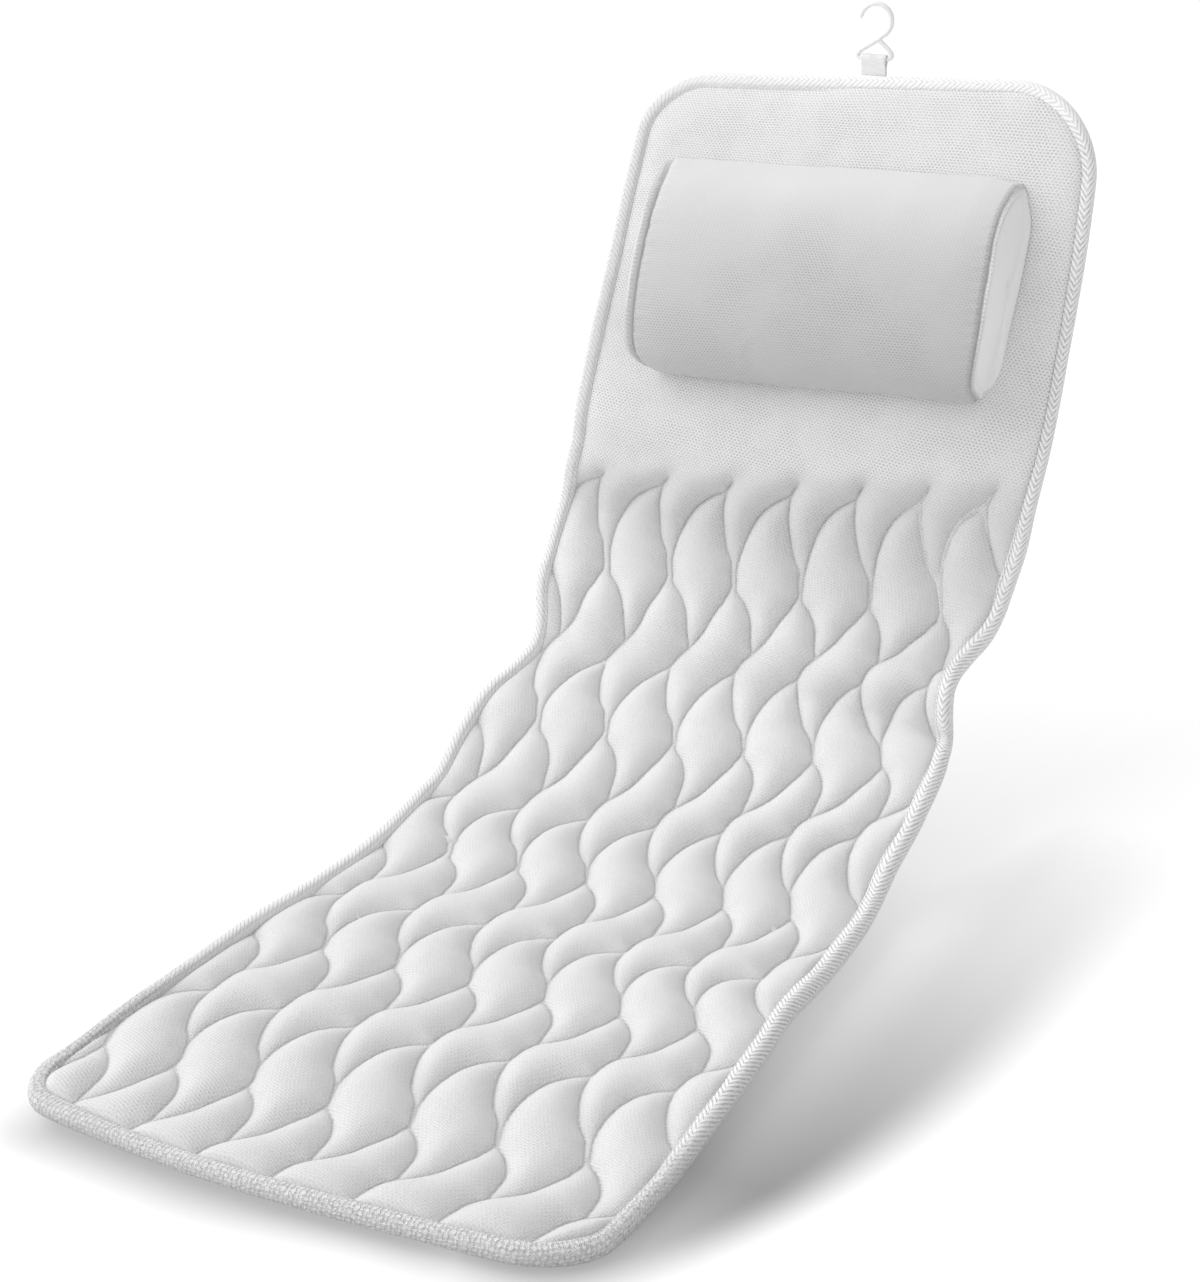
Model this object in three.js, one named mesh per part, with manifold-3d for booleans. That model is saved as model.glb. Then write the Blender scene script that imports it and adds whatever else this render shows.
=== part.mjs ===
// Full-length bath pillow: a quilted mat that lies along a tub and up its sloping end,
// with a sewn-on headrest, a taped edge, suction cups behind and a hanging hook.
// Millimetres, +Z up. X is across the mat, the foot end is at -Y, the head end at +Y.
// The suction cups under the leg end stand on z = 0.

import * as THREE from 'three';
import * as BufferGeometryUtils from 'three/addons/utils/BufferGeometryUtils.js';
import Module from 'manifold-3d';

const wasm = await Module();
wasm.setup();

// ---------------------------------------------------------------- dimensions
const WIDTH = 400;              // over the edge tape
const FOOT_S = 20, LENGTH = 1197; // where the mat starts and ends, measured along its middle line
const CORNER_R = 66;            // outer corner radius at foot and head
const HALF_T = 10.5;            // half thickness of the quilted layers
const COVER_T = 1.6;            // mesh cover
const GAP = 0.3;                // between pieces that touch
const TAPE_HALF_T = 12.3;       // half thickness over the edge tape
const TAPE_W = 13;              // how far the tape covers the mat
const TAPE_WALL = 3.2;          // tape thickness at the very edge
const FOLD_N = 12.6;            // fold lines lie this far in front of the mat's middle
const CUP_STAND = 8;            // cup height below the back cover
const Y0 = 452.5;                 // the line starts this far behind the origin
const Z0 = CUP_STAND + HALF_T;  // height of the mat's middle over the tub floor

// slope of the mat along its length: [distance along the line, degrees]
const SLOPE = [[0, 0], [461, 0], [496, 7], [537, 34], [578, 31], [619, 18], [660, 21], [700.5, 54], [741, 36],
  [782, 46], [823, 77], [864, 80], [906, 70], [LENGTH, 70]];

// fold lines: distance along the line, opening behind the fold for bending back (degrees each side)
const FOLDS = {
  foot: { s: 258, open: [15, 15] },
  leg: { s: 514, open: [30, 30] },
  back: { s: 802, open: [30, 30] },
  head: { s: 911, open: [26, 26] },
};

// headrest
const REST_HALF_W = 150;
const REST_S = 942;             // its lower edge, along the line
const REST_PROFILE = [[0, 0], [-2, 10], [0, 24], [8, 42], [22, 53], [44, 60], [68, 63], [92, 59.5], [118, 51], [140, 38], [158, 22],
  [168, 9], [171, 0]];
const REST_COVER = 1.8;

// suction cups: [x, distance along the line]
const CUPS = {
  foot: [[-138, 84], [138, 84], [-138, 204], [138, 204]],
  leg: [[-138, 312], [138, 312], [-138, 440], [138, 440]],
  head: [[-138, 968], [138, 968], [-138, 1134], [138, 1134]],
};
const CUP_R = 22;

// hanging loop and hook
const HANG_X = 6.5;
const LOOP_W = 22;
const LOOP_RISE = 12;           // bar height over the loop's foot
const BAR_R = 2;

// ---------------------------------------------------------------- colours
const white = (c, r) => new THREE.MeshStandardMaterial({ color: c, roughness: r, metalness: 0 });
const MESH = 0xf4f4f3, REST = 0xf6f6f6, TAPE = 0xefefee, FIBRE = 0xfafafa, PLASTIC = 0xf7f8f8, CLEAR = 0xe8eced, WEB = 0xf3f3f2;

// ---------------------------------------------------------------- the curve
const rad = (d) => (d * Math.PI) / 180;
function slopeAt(s) {
  for (let i = 1; i < SLOPE.length; i++) {
    if (s <= SLOPE[i][0]) {
      const [a, p] = SLOPE[i - 1], [b, q] = SLOPE[i];
      return rad(p + ((q - p) * (s - a)) / (b - a));
    }
  }
  return rad(SLOPE[SLOPE.length - 1][1]);
}
const CURVE = [[-Y0, Z0]];
for (let s = 1; s <= LENGTH + 60; s++) {
  const a = slopeAt(s - 0.5), [y, z] = CURVE[s - 1];
  CURVE.push([y + Math.cos(a), z + Math.sin(a)]);
}
function at(s, n = 0) {          // point at distance s, n in front of the middle
  const a = slopeAt(Math.max(s, 0)), i = Math.max(0, Math.min(CURVE.length - 2, Math.floor(s))), f = s - i;
  const [y, z] = [CURVE[i][0] + Math.cos(a) * f, CURVE[i][1] + Math.sin(a) * f];
  return [y - Math.sin(a) * n, z + Math.cos(a) * n];
}

// ---------------------------------------------------------------- solids
function toSolid(geometry) {
  const g = geometry.clone();
  g.deleteAttribute('normal'); g.deleteAttribute('uv');
  const m = BufferGeometryUtils.mergeVertices(g, 1e-4);
  return new wasm.Manifold(new wasm.Mesh({
    numProp: 3, vertProperties: new Float32Array(m.attributes.position.array), triVerts: new Uint32Array(m.index.array) }));
}
function toGeometry(solid) {
  const m = solid.getMesh(), g = new THREE.BufferGeometry();
  g.setAttribute('position', new THREE.BufferAttribute(new Float32Array(m.vertProperties), 3));
  g.setIndex(new THREE.BufferAttribute(new Uint32Array(m.triVerts), 1));
  const flat = g.toNonIndexed(); flat.computeVertexNormals();
  return flat;
}
// (y, z) outline drawn out along X
const ALONG_X = new THREE.Matrix4().set(0, 0, 1, 0, 1, 0, 0, 0, 0, 1, 0, 0, 0, 0, 0, 1);
function prismX(points, x0, x1, holes = []) {
  const shape = new THREE.Shape(points.map(([y, z]) => new THREE.Vector2(y, z)));
  for (const h of holes) shape.holes.push(new THREE.Path(h.map(([y, z]) => new THREE.Vector2(y, z))));
  const g = new THREE.ExtrudeGeometry(shape, { depth: x1 - x0, bevelEnabled: false });
  g.translate(0, 0, x0); g.applyMatrix4(ALONG_X);
  return toSolid(g);
}
// strip of the mat from s0 to s1, between n0 and n1 in front of its middle
function ribbon(s0, s1, n0, n1, x0, x1) {
  const steps = Math.max(1, Math.ceil((s1 - s0) / 14)), low = [], high = [];
  for (let i = 0; i <= steps; i++) {
    const s = s0 + ((s1 - s0) * i) / steps;
    low.push(at(s, n0)); high.unshift(at(s, n1));
  }
  return prismX([...low, ...high], x0, x1);
}
// flat plate with two rounded corners, in the mat's own plane: u across, v along it, n its thickness
function plate(halfW, v0, v1, r, roundEnd, n0, n1) {
  const s = new THREE.Shape();
  if (roundEnd === 'low') {
    s.moveTo(-halfW, v1); s.lineTo(-halfW, v0 + r); s.absarc(-halfW + r, v0 + r, r, Math.PI, 1.5 * Math.PI, false);
    s.lineTo(halfW - r, v0); s.absarc(halfW - r, v0 + r, r, 1.5 * Math.PI, 2 * Math.PI, false); s.lineTo(halfW, v1);
  } else {
    s.moveTo(halfW, v0); s.lineTo(halfW, v1 - r); s.absarc(halfW - r, v1 - r, r, 0, 0.5 * Math.PI, false);
    s.lineTo(-halfW + r, v1); s.absarc(-halfW + r, v1 - r, r, 0.5 * Math.PI, Math.PI, false); s.lineTo(-halfW, v0);
  }
  const g = new THREE.ExtrudeGeometry(s, { depth: n1 - n0, bevelEnabled: false, curveSegments: 7 });
  g.translate(0, 0, n0);
  return toSolid(g);
}
// turns a plate drawn with v = 0 at distance s into its place on the mat
function place(solid, s) {
  const a = slopeAt(s + 1), [y, z] = at(s, 0);
  const m = new THREE.Matrix4().makeRotationX(a); m.setPosition(0, y, z);
  return solid.transform(m.elements);
}
// the open wedge behind a fold line, with a thin slit in front of it
function foldWedge(name) {
  const { s, open } = FOLDS[name], [ay, az] = at(s, FOLD_N);
  const a0 = slopeAt(s - 16), a1 = slopeAt(s + 16);
  const t0 = [Math.cos(a0), Math.sin(a0)], t1 = [Math.cos(a1), Math.sin(a1)];
  const d0 = a0 - Math.PI / 2 - rad(open[0]), d1 = a1 - Math.PI / 2 + rad(open[1]), R = 70, e = 0.4;
  const f = (a0 + a1) / 2 + Math.PI / 2;
  return prismX([
    [ay + 12 * Math.cos(f) - e * t0[0], az + 12 * Math.sin(f) - e * t0[1]],
    [ay - e * t0[0], az - e * t0[1]],
    [ay - e * t0[0] + R * Math.cos(d0), az - e * t0[1] + R * Math.sin(d0)],
    [ay + e * t1[0] + R * Math.cos(d1), az + e * t1[1] + R * Math.sin(d1)],
    [ay + e * t1[0], az + e * t1[1]],
    [ay + 12 * Math.cos(f) + e * t1[0], az + 12 * Math.sin(f) + e * t1[1]],
  ], -WIDTH, WIDTH);
}
const WEDGE = Object.fromEntries(Object.keys(FOLDS).map((k) => [k, foldWedge(k)]));
const trim = (solid, ...folds) => folds.reduce((m, f) => m.subtract(WEDGE[f]), solid);

const bath_pillow = new THREE.Group();
bath_pillow.name = 'bath_pillow';
function add(name, solid, colour, roughness) {
  const mesh = new THREE.Mesh(toGeometry(solid), white(colour, roughness));
  mesh.name = name; bath_pillow.add(mesh);
}

// ---------------------------------------------------------------- layers of the mat
const IN_W = WIDTH / 2 - TAPE_WALL - GAP;          // half width of the layers inside the tape
const LAYERS = [
  ['front_cover', HALF_T - COVER_T, HALF_T, MESH, 0.9],
  ['filling', -HALF_T + COVER_T + GAP, HALF_T - COVER_T - GAP, FIBRE, 1.0],
  ['back_cover', -HALF_T, -HALF_T + COVER_T, MESH, 0.9],
];
// room for each cup's neck and button
function cupRoom(list, s0, flatAngleAt) {
  return list.map(([x, s]) => {
    const neck = new THREE.CylinderGeometry(4, 4, 12, 16), button = new THREE.CylinderGeometry(9.5, 9.5, 2.9, 16);
    for (const g of [neck, button]) g.rotateX(Math.PI / 2);
    neck.translate(x, s - s0, -HALF_T); button.translate(x, s - s0, -HALF_T + COVER_T + 1.45);
    return [place(toSolid(neck), s0), place(toSolid(button), s0)];
  });
}
function flatPanel(name, s0, s1, end, folds) {
  const base = end === 'low' ? 0 : s0;
  const v0 = s0 - base, v1 = s1 - base;
  const inset = TAPE_WALL + GAP;
  for (const [layer, n0, n1, colour, rough] of LAYERS) {
    let m = end === 'low' ? plate(IN_W, v0 + inset, v1, CORNER_R - inset, 'low', n0, n1)
      : plate(IN_W, v0, v1 - inset, CORNER_R - inset, 'high', n0, n1);
    m = trim(place(m, base), ...folds);
    for (const [neck, button] of cupRoom(CUPS[name], base)) {
      if (layer === 'back_cover') m = m.subtract(neck);
      if (layer === 'filling') m = m.subtract(button);
    }
    add(`${name}_${layer}`, m, colour, rough);
  }
  // edge tape folded over the panel's edge
  const T = TAPE_HALF_T, slot = HALF_T + GAP;
  let tape, mouth, groove;
  if (end === 'low') {
    tape = plate(WIDTH / 2, v0, v1, CORNER_R, 'low', -T, T);
    mouth = plate(WIDTH / 2 - TAPE_W, v0 + TAPE_W, v1 + 5, CORNER_R - TAPE_W, 'low', -T - 1, T + 1);
    groove = plate(WIDTH / 2 - TAPE_WALL, v0 + TAPE_WALL, v1 + 5, CORNER_R - TAPE_WALL, 'low', -slot, slot);
  } else {
    tape = plate(WIDTH / 2, v0, v1, CORNER_R, 'high', -T, T);
    mouth = plate(WIDTH / 2 - TAPE_W, v0 - 5, v1 - TAPE_W, CORNER_R - TAPE_W, 'high', -T - 1, T + 1);
    groove = plate(WIDTH / 2 - TAPE_WALL, v0 - 5, v1 - TAPE_WALL, CORNER_R - TAPE_WALL, 'high', -slot, slot);
  }
  add(`${name}_edge_tape`, trim(place(tape.subtract(mouth).subtract(groove), base), ...folds), TAPE, 0.85);
}
function curvedPanel(name, s0, s1, folds) {
  for (const [layer, n0, n1, colour, rough] of LAYERS) {
    let m = trim(ribbon(s0, s1, n0, n1, -IN_W, IN_W), ...folds);
    for (const [neck, button] of cupRoom(CUPS[name] ?? [], 0)) {
      if (layer === 'back_cover') m = m.subtract(neck);
      if (layer === 'filling') m = m.subtract(button);
    }
    add(`${name}_${layer}`, m, colour, rough);
  }
  const T = TAPE_HALF_T, slot = HALF_T + GAP;
  for (const [side, sign] of [['left', -1], ['right', 1]]) {
    const xa = sign * (WIDTH / 2 - TAPE_W), xb = (sign * WIDTH) / 2, xc = sign * (WIDTH / 2 - TAPE_WALL);
    const tape = ribbon(s0, s1, -T, T, Math.min(xa, xb), Math.max(xa, xb));
    const groove = ribbon(s0 - 3, s1 + 3, -slot, slot, Math.min(xa - sign, xc), Math.max(xa - sign, xc));
    add(`${name}_${side}_edge_tape`, trim(tape.subtract(groove), ...folds), TAPE, 0.85);
  }
}
flatPanel('foot', FOOT_S, FOLDS.foot.s, 'low', ['foot']);
curvedPanel('leg', FOLDS.foot.s, FOLDS.leg.s, ['foot', 'leg']);
curvedPanel('seat', FOLDS.leg.s, FOLDS.back.s, ['leg', 'back']);
curvedPanel('back', FOLDS.back.s, FOLDS.head.s, ['back', 'head']);
flatPanel('head', FOLDS.head.s, LENGTH, 'high', ['head']);

// ---------------------------------------------------------------- headrest on the head panel
function restOutline(inset, lift) {               // profile pulled in by inset, its back face at lift
  const p = REST_PROFILE.map(([v, h]) => new THREE.Vector2(v, h)), out = [];
  for (let i = 0; i < p.length; i++) {
    const a = p[Math.max(i - 1, 0)], b = p[Math.min(i + 1, p.length - 1)];
    const d = b.clone().sub(a).normalize();
    out.push([p[i].x + d.y * inset, Math.max(p[i].y - d.x * inset, lift)]);
  }
  const lo = out.findIndex(([, h]) => h > lift), hi = out.length - 1 - [...out].reverse().findIndex(([, h]) => h > lift);
  const cut = out.slice(lo, hi + 1);
  return [[cut[0][0], lift], ...cut, [cut[cut.length - 1][0], lift]];
}
const REST_N = HALF_T + GAP;                      // the headrest's back, in front of the mat's middle
function restPrism(outline, x0, x1) {
  const pts = outline.map(([v, h]) => [v, h + REST_N]);
  // the outline runs against the sense of the (y, z) axes, so it is reversed
  const shape = new THREE.Shape([...pts].reverse().map(([y, z]) => new THREE.Vector2(y, z)));
  const g = new THREE.ExtrudeGeometry(shape, { depth: x1 - x0, bevelEnabled: false });
  g.translate(0, 0, x0); g.applyMatrix4(ALONG_X);
  return place(toSolid(g), REST_S);
}
{
  const c = REST_COVER, body = REST_HALF_W - c - GAP;
  const outer = restPrism(restOutline(0, 0), -body, body);
  const inner = restPrism(restOutline(c, -6), -body - 2, body + 2);
  const back = restPrism(restOutline(c + 3 * GAP, 0), -body, body);
  const below = restPrism([[-30, c], [-30, 200], [220, 200], [220, c]], -body - 5, body + 5);
  const above = restPrism([[-30, c + GAP], [-30, 200], [220, 200], [220, c + GAP]], -body - 5, body + 5);
  add('headrest_front_cover', outer.subtract(inner), REST, 0.9);
  add('headrest_back_cover', back.subtract(below), MESH, 0.9);
  add('headrest_foam', back.intersect(above), FIBRE, 1.0);
  add('headrest_left_gusset', restPrism(restOutline(0, 0), -REST_HALF_W, -REST_HALF_W + c), REST, 0.9);
  add('headrest_right_gusset', restPrism(restOutline(0, 0), REST_HALF_W - c, REST_HALF_W), REST, 0.9);
}

// ---------------------------------------------------------------- suction cups
// profile from the axis under the cup, out to the lip, up the outside, neck, button: [radius, height over the tub]
const CUP = [[0, 4.6], [10, 3.6], [16, 1.6], [18.5, 0], [CUP_R, 0], [CUP_R, 0.9], [17, 3.6], [9, 6.9], [3.4, 7.5], [3.4, CUP_STAND + COVER_T + GAP],
  [8.8, CUP_STAND + COVER_T + GAP], [8.8, CUP_STAND + COVER_T + GAP + 1.8], [0, CUP_STAND + COVER_T + GAP + 1.8]];
for (const [panel, list] of Object.entries(CUPS)) {
  list.forEach(([x, s], i) => {
    const lathe = new THREE.LatheGeometry(CUP.map(([r, z]) => new THREE.Vector2(r, z)), 14);
    lathe.rotateX(Math.PI / 2);                   // the lathe's axis becomes the mat's normal
    lathe.translate(x, 0, -HALF_T - CUP_STAND);
    const a = slopeAt(s), [y, z] = at(s, 0), m = new THREE.Matrix4().makeRotationX(a);
    m.setPosition(0, y, z);
    add(`${panel}_suction_cup_${i + 1}`, toSolid(lathe).transform(m.elements), CLEAR, 0.25);
  });
}

// ---------------------------------------------------------------- hanging loop
const [TOP_Y, TOP_Z] = at(LENGTH, 0);
const LOOP_Z = TOP_Z + 3.6;                       // foot of the loop, on the top edge
const BAR_Z = LOOP_Z + LOOP_RISE;
{
  const t = 1.2, ri = BAR_R + 0.7, ro = ri + t, N = 10, outer = [], inner = [];
  for (let i = 0; i <= N; i++) { const a = rad(-20 + (220 * i) / N); outer.push([TOP_Y + ro * Math.cos(a), BAR_Z + ro * Math.sin(a)]); }
  for (let i = 0; i <= 6; i++) { const a = rad(180 + (180 * i) / 6); outer.push([TOP_Y + 1.5 * Math.cos(a), LOOP_Z + 1.5 * Math.sin(a)]); }
  for (let i = 0; i <= N; i++) { const a = rad(-20 + (220 * i) / N); inner.push([TOP_Y + ri * Math.cos(a), BAR_Z + ri * Math.sin(a)]); }
  inner.push([TOP_Y, LOOP_Z + 4.2]);
  add('hanging_loop', prismX(outer, HANG_X - LOOP_W / 2, HANG_X + LOOP_W / 2, [inner]), WEB, 0.85);
}

// ---------------------------------------------------------------- hook
// one round bar: up from its tip round the open hook, down the neck, then the closed eye round the loop
{
  const R = 13.5, cz = BAR_Z + 29, pts = [];
  for (let i = 0; i <= 9; i++) {                  // open hook, from the tip on the left over the top to the right
    const a = rad(172 - (197 * i) / 9);
    pts.push([R * Math.cos(a), cz + R * Math.sin(a)]);
  }
  pts.push([9.4, cz - 9.2], [5.2, cz - 12.2], [2.2, cz - 15.6]);             // neck
  const neck = new THREE.CatmullRomCurve3(pts.map(([x, z]) => new THREE.Vector3(HANG_X + x, TOP_Y, z)), false, 'centripetal');
  const disc = (r, n) => { const s = new THREE.Shape(); for (let i = 0; i < n; i++) { const a = (2 * Math.PI * i) / n; i ? s.lineTo(r * Math.cos(a), r * Math.sin(a)) : s.moveTo(r, 0); } return s; };
  const hook = toSolid(new THREE.ExtrudeGeometry(disc(BAR_R, 10), { steps: 34, extrudePath: neck, bevelEnabled: false }));
  const eye = [[2.2, cz - 14.6], [-1.6, BAR_Z + 12], [-6.6, BAR_Z + 8.9], [-11.6, BAR_Z + 5.9], [-14.3, BAR_Z + 3.2], [-14.4, BAR_Z + 1.2], [-12.6, BAR_Z], [-7, BAR_Z], [7, BAR_Z],
    [12.6, BAR_Z], [14.9, BAR_Z + 1.9], [14.2, BAR_Z + 4.6], [9.2, BAR_Z + 9.6], [4.4, cz - 15.6], [2.6, cz - 14.8]];
  const ring = new THREE.CatmullRomCurve3(eye.map(([x, z]) => new THREE.Vector3(HANG_X + x, TOP_Y, z)), false, 'centripetal');
  const eyeSolid = toSolid(new THREE.ExtrudeGeometry(disc(BAR_R - 0.02, 10), { steps: 44, extrudePath: ring, bevelEnabled: false }));
  add('hanging_hook', hook.add(eyeSolid), PLASTIC, 0.3);
}

export default bath_pillow;
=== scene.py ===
import math

import bpy
import numpy as np
from mathutils import Matrix, Vector


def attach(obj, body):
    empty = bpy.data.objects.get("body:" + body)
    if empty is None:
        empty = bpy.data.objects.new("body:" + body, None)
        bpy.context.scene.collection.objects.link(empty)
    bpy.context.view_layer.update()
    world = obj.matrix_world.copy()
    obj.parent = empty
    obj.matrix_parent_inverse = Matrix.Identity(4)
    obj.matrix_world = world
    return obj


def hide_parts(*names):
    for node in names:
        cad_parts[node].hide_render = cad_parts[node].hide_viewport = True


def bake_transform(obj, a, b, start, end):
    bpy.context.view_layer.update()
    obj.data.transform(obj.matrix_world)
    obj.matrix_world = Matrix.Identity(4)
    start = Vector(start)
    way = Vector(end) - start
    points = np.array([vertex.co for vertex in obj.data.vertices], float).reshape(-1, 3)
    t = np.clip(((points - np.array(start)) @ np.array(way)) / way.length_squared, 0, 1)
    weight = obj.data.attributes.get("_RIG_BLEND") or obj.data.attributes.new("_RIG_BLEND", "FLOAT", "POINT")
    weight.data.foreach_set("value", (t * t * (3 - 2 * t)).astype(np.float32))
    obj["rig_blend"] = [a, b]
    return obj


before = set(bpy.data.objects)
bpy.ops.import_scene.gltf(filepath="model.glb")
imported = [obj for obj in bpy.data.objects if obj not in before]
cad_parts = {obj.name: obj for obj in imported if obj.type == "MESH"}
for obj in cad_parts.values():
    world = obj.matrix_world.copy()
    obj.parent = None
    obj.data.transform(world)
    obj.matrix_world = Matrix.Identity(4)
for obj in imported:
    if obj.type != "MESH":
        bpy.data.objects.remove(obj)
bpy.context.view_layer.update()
MM = 0.001

# ------------------------------------------------------------------ numbers of the mat (mm)
FOOT, LENGTH, HALF_W = 19.5, 1196.7, 200.0      # where the mat starts and ends on its middle line, half its width
R_LEFT, R_RIGHT, R_TOP, R_TOP_R = 29.6, 50.1, 59.6, 70.0       # corner radii: foot left, foot right, head left, head right
FOOT_SLANT, FOOT_BOW, TOP_SLANT = 0.0658, 19.9, -0.0034
EDGE = 194.0                       # where the edge tape's middle runs
CUPS = [(-138, 84), (138, 84), (-138, 204), (138, 204), (-138, 312), (138, 312), (-138, 440), (138, 440),
        (-138, 968), (138, 968), (-138, 1134), (138, 1134)]
CUTS = [FOOT, 150.0, 386.0, 658.0, 856.0, 1010.0, LENGTH]
CAD_LENGTH = 1197.0
FOLD = {"foot": (218.0, 298.0), "leg": (462.0, 566.0), "back": (757.0, 840.0), "head": (872.0, 926.0)}

# slope of the mat's middle along its length, in degrees, at even steps
PHI = [0.0, -0.7, -0.7, -0.2, 1.2, 0.6, -0.5, -0.1, -0.5, -0.8, 2.8, 2.9, 7.1, 35.1, 30.7, 16.0, 20.5, 59.5, 34.2, 44.4, 77.2, 81.5, 70.7,
       69.2, 71.1, 69.9, 68.2, 67.6, 69.8, 71.5]
PHI_STEP, PHI_START = 40.85, 6.0
# sideways shift, twist and skew of the mat every 20 mm
X0 = [0.2, 0.3, 0.9, 1.9, 3.0, 4.1, 5.2, 5.9, 6.3, 6.1, 5.3, 4.2, 2.9, 1.8, 0.9, 0.4, 0.1, -0.1, -0.2, -0.3, -0.5, -0.9, -1.5, -2.2, -3.0,
      -3.6, -3.9, -3.7, -3.3, -2.8, -2.4, -2.4, -2.9, -4.1, -6.3, -9.7, -13.4, -16.5, -17.9, -16.9, -13.5, -8.9, -4.4, -0.9, 1.0, 1.8, 2.1,
      2.3, 2.8, 3.5, 4.2, 4.8, 5.1, 5.1, 4.9, 4.5, 3.9, 3.4, 2.8, 2.3, 2.1]
TW = [2.0, -1.6, -5.6, -8.4, -10.2, -11.2, -11.4, -11.1, -10.4, -9.3, -8.1, -6.8, -5.2, -3.3, -1.3, 0.7, 2.3, 3.4, 3.6, 3.2, 2.3, 1.5, 1.0,
      0.8, 0.7, 0.4, -0.3, -1.4, -2.4, -2.6, -1.3, 1.6, 5.2, 8.4, 9.9, 8.7, 5.5, 1.0, -3.5, -7.2, -10.0, -12.1, -14.1, -16.2, -18.6, -20.9,
      -22.8, -23.7, -23.5, -22.5, -20.9, -19.1, -17.3, -15.6, -13.9, -12.1, -10.3, -8.4, -6.2, -3.9, -2.5]
SK = [12.0, 7.8, 2.7, -1.5, -4.8, -7.3, -9.0, -9.9, -10.1, -9.7, -8.8, -7.7, -6.8, -6.5, -6.9, -8.0, -9.3, -10.6, -11.6, -12.2, -12.6, -12.7,
      -12.5, -12.3, -12.0, -11.6, -11.2, -10.9, -10.9, -11.2, -12.1, -13.6, -15.5, -17.9, -20.4, -23.0, -25.4, -27.5, -29.0, -29.6, -29.4,
      -28.5, -27.0, -25.0, -22.8, -20.3, -17.9, -15.5, -13.3, -11.2, -9.2, -7.2, -5.1, -3.0, -0.8, 1.3, 3.5, 5.5, 7.5, 9.4, 10.4]
# how far the left and right edges stand off that shape, in mm, at these places along the mat
EDGE_AT = [20, 70, 120, 180, 240, 300, 360, 420, 480, 540, 600, 640, 680, 720, 760, 800, 840, 880, 940, 1000, 1060, 1120, 1197]
EDGE_L = [0.2, 2.6, -0.3, 1.4, 2.0, 4.3, 3.7, 4.1, -0.1, 0.7, 1.8, 3.0, 3.1, -0.0, 0.1, -0.6, 0.2, -1.1, 0.5, 1.0, 0.4, 1.7, 5.8]
EDGE_R = [0.2, -2.4, 0.0, 0.4, 1.1, 1.6, -1.4, -0.6, 0.3, -4.3, -0.1, 0.6, -0.7, -3.6, -3.5, 1.2, -1.4, -1.3, 0.5, -0.3, -0.4, -1.5, -7.6]


# ------------------------------------------------------------------ small maths
def pchip(xk, yk, x):
    """Smooth curve through the points that makes no new bumps between them."""
    xk, yk, x = np.asarray(xk, float), np.asarray(yk, float), np.asarray(x, float)
    h, m = np.diff(xk), np.diff(yk) / np.diff(xk)
    d = np.zeros(len(xk))
    for k in range(1, len(xk) - 1):
        if m[k - 1] * m[k] > 0:
            w1, w2 = 2 * h[k] + h[k - 1], h[k] + 2 * h[k - 1]
            d[k] = (w1 + w2) / (w1 / m[k - 1] + w2 / m[k])
    d[0], d[-1] = m[0], m[-1]
    i = np.clip(np.searchsorted(xk, x) - 1, 0, len(xk) - 2)
    t = np.clip((x - xk[i]) / h[i], 0, 1)
    return ((1 + 2 * t) * (1 - t) ** 2 * yk[i] + t * (1 - t) ** 2 * h[i] * d[i]
            + t * t * (3 - 2 * t) * yk[i + 1] + t * t * (t - 1) * h[i] * d[i + 1])


def smooth(t):
    t = np.clip(t, 0, 1)
    return t * t * (3 - 2 * t)


def unit(v):
    return v / np.maximum(np.linalg.norm(v, axis=-1, keepdims=True), 1e-12)


def vnoise(x, y, scale, seed):
    """Seeded smooth noise from -1 to 1, with bumps about scale apart."""
    g = np.random.RandomState(seed).uniform(-1, 1, (64, 64))
    u, v = np.asarray(x, float) / scale + 700, np.asarray(y, float) / scale + 700
    i, j = np.floor(u).astype(int), np.floor(v).astype(int)
    a, b = smooth(u - i), smooth(v - j)
    i0, j0, i1, j1 = i % 64, j % 64, (i + 1) % 64, (j + 1) % 64
    return (g[i0, j0] * (1 - a) + g[i1, j0] * a) * (1 - b) + (g[i0, j1] * (1 - a) + g[i1, j1] * a) * b


# ------------------------------------------------------------------ the mat's surface
_S = np.arange(-20, 1221, 1.0)
_A = np.radians(np.where(_S < PHI_START, 0.0, pchip(np.arange(len(PHI)) * PHI_STEP, PHI, np.maximum(_S - PHI_START, 0))))
_mid = (_A[1:] + _A[:-1]) / 2
_Y = np.concatenate([[0], np.cumsum(np.cos(_mid))])
_Z = np.concatenate([[0], np.cumsum(np.sin(_mid))])
_k0 = 20
_Y += -452.5 - _Y[_k0]
_Z += 18.5 - _Z[_k0]
_T20 = np.arange(61) * 20.0
_X0 = pchip(_T20, X0, _S)
_TW = pchip(_T20, TW, _S) * (0.55 + 0.45 * smooth((_S - 230) / 100))
_SK = pchip(_T20, SK, _S)


def soften(a, n):
    """Moving average, so that tables read at 1 mm steps have no kinks."""
    k = np.hanning(2 * n + 3)[1:-1]
    return np.convolve(np.pad(a, n, mode="edge"), k / k.sum(), mode="valid")


_EL, _ER = pchip(EDGE_AT, EDGE_L, np.clip(_S, 20, 1197)), pchip(EDGE_AT, EDGE_R, np.clip(_S, 20, 1197))
_X0, _WD = soften(_X0 + (_EL + _ER) / 2, 9), soften((_ER - _EL) / 2, 12)
_TW, _SK, _A = soften(_TW, 9), soften(_SK, 9), soften(_A, 5)


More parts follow.
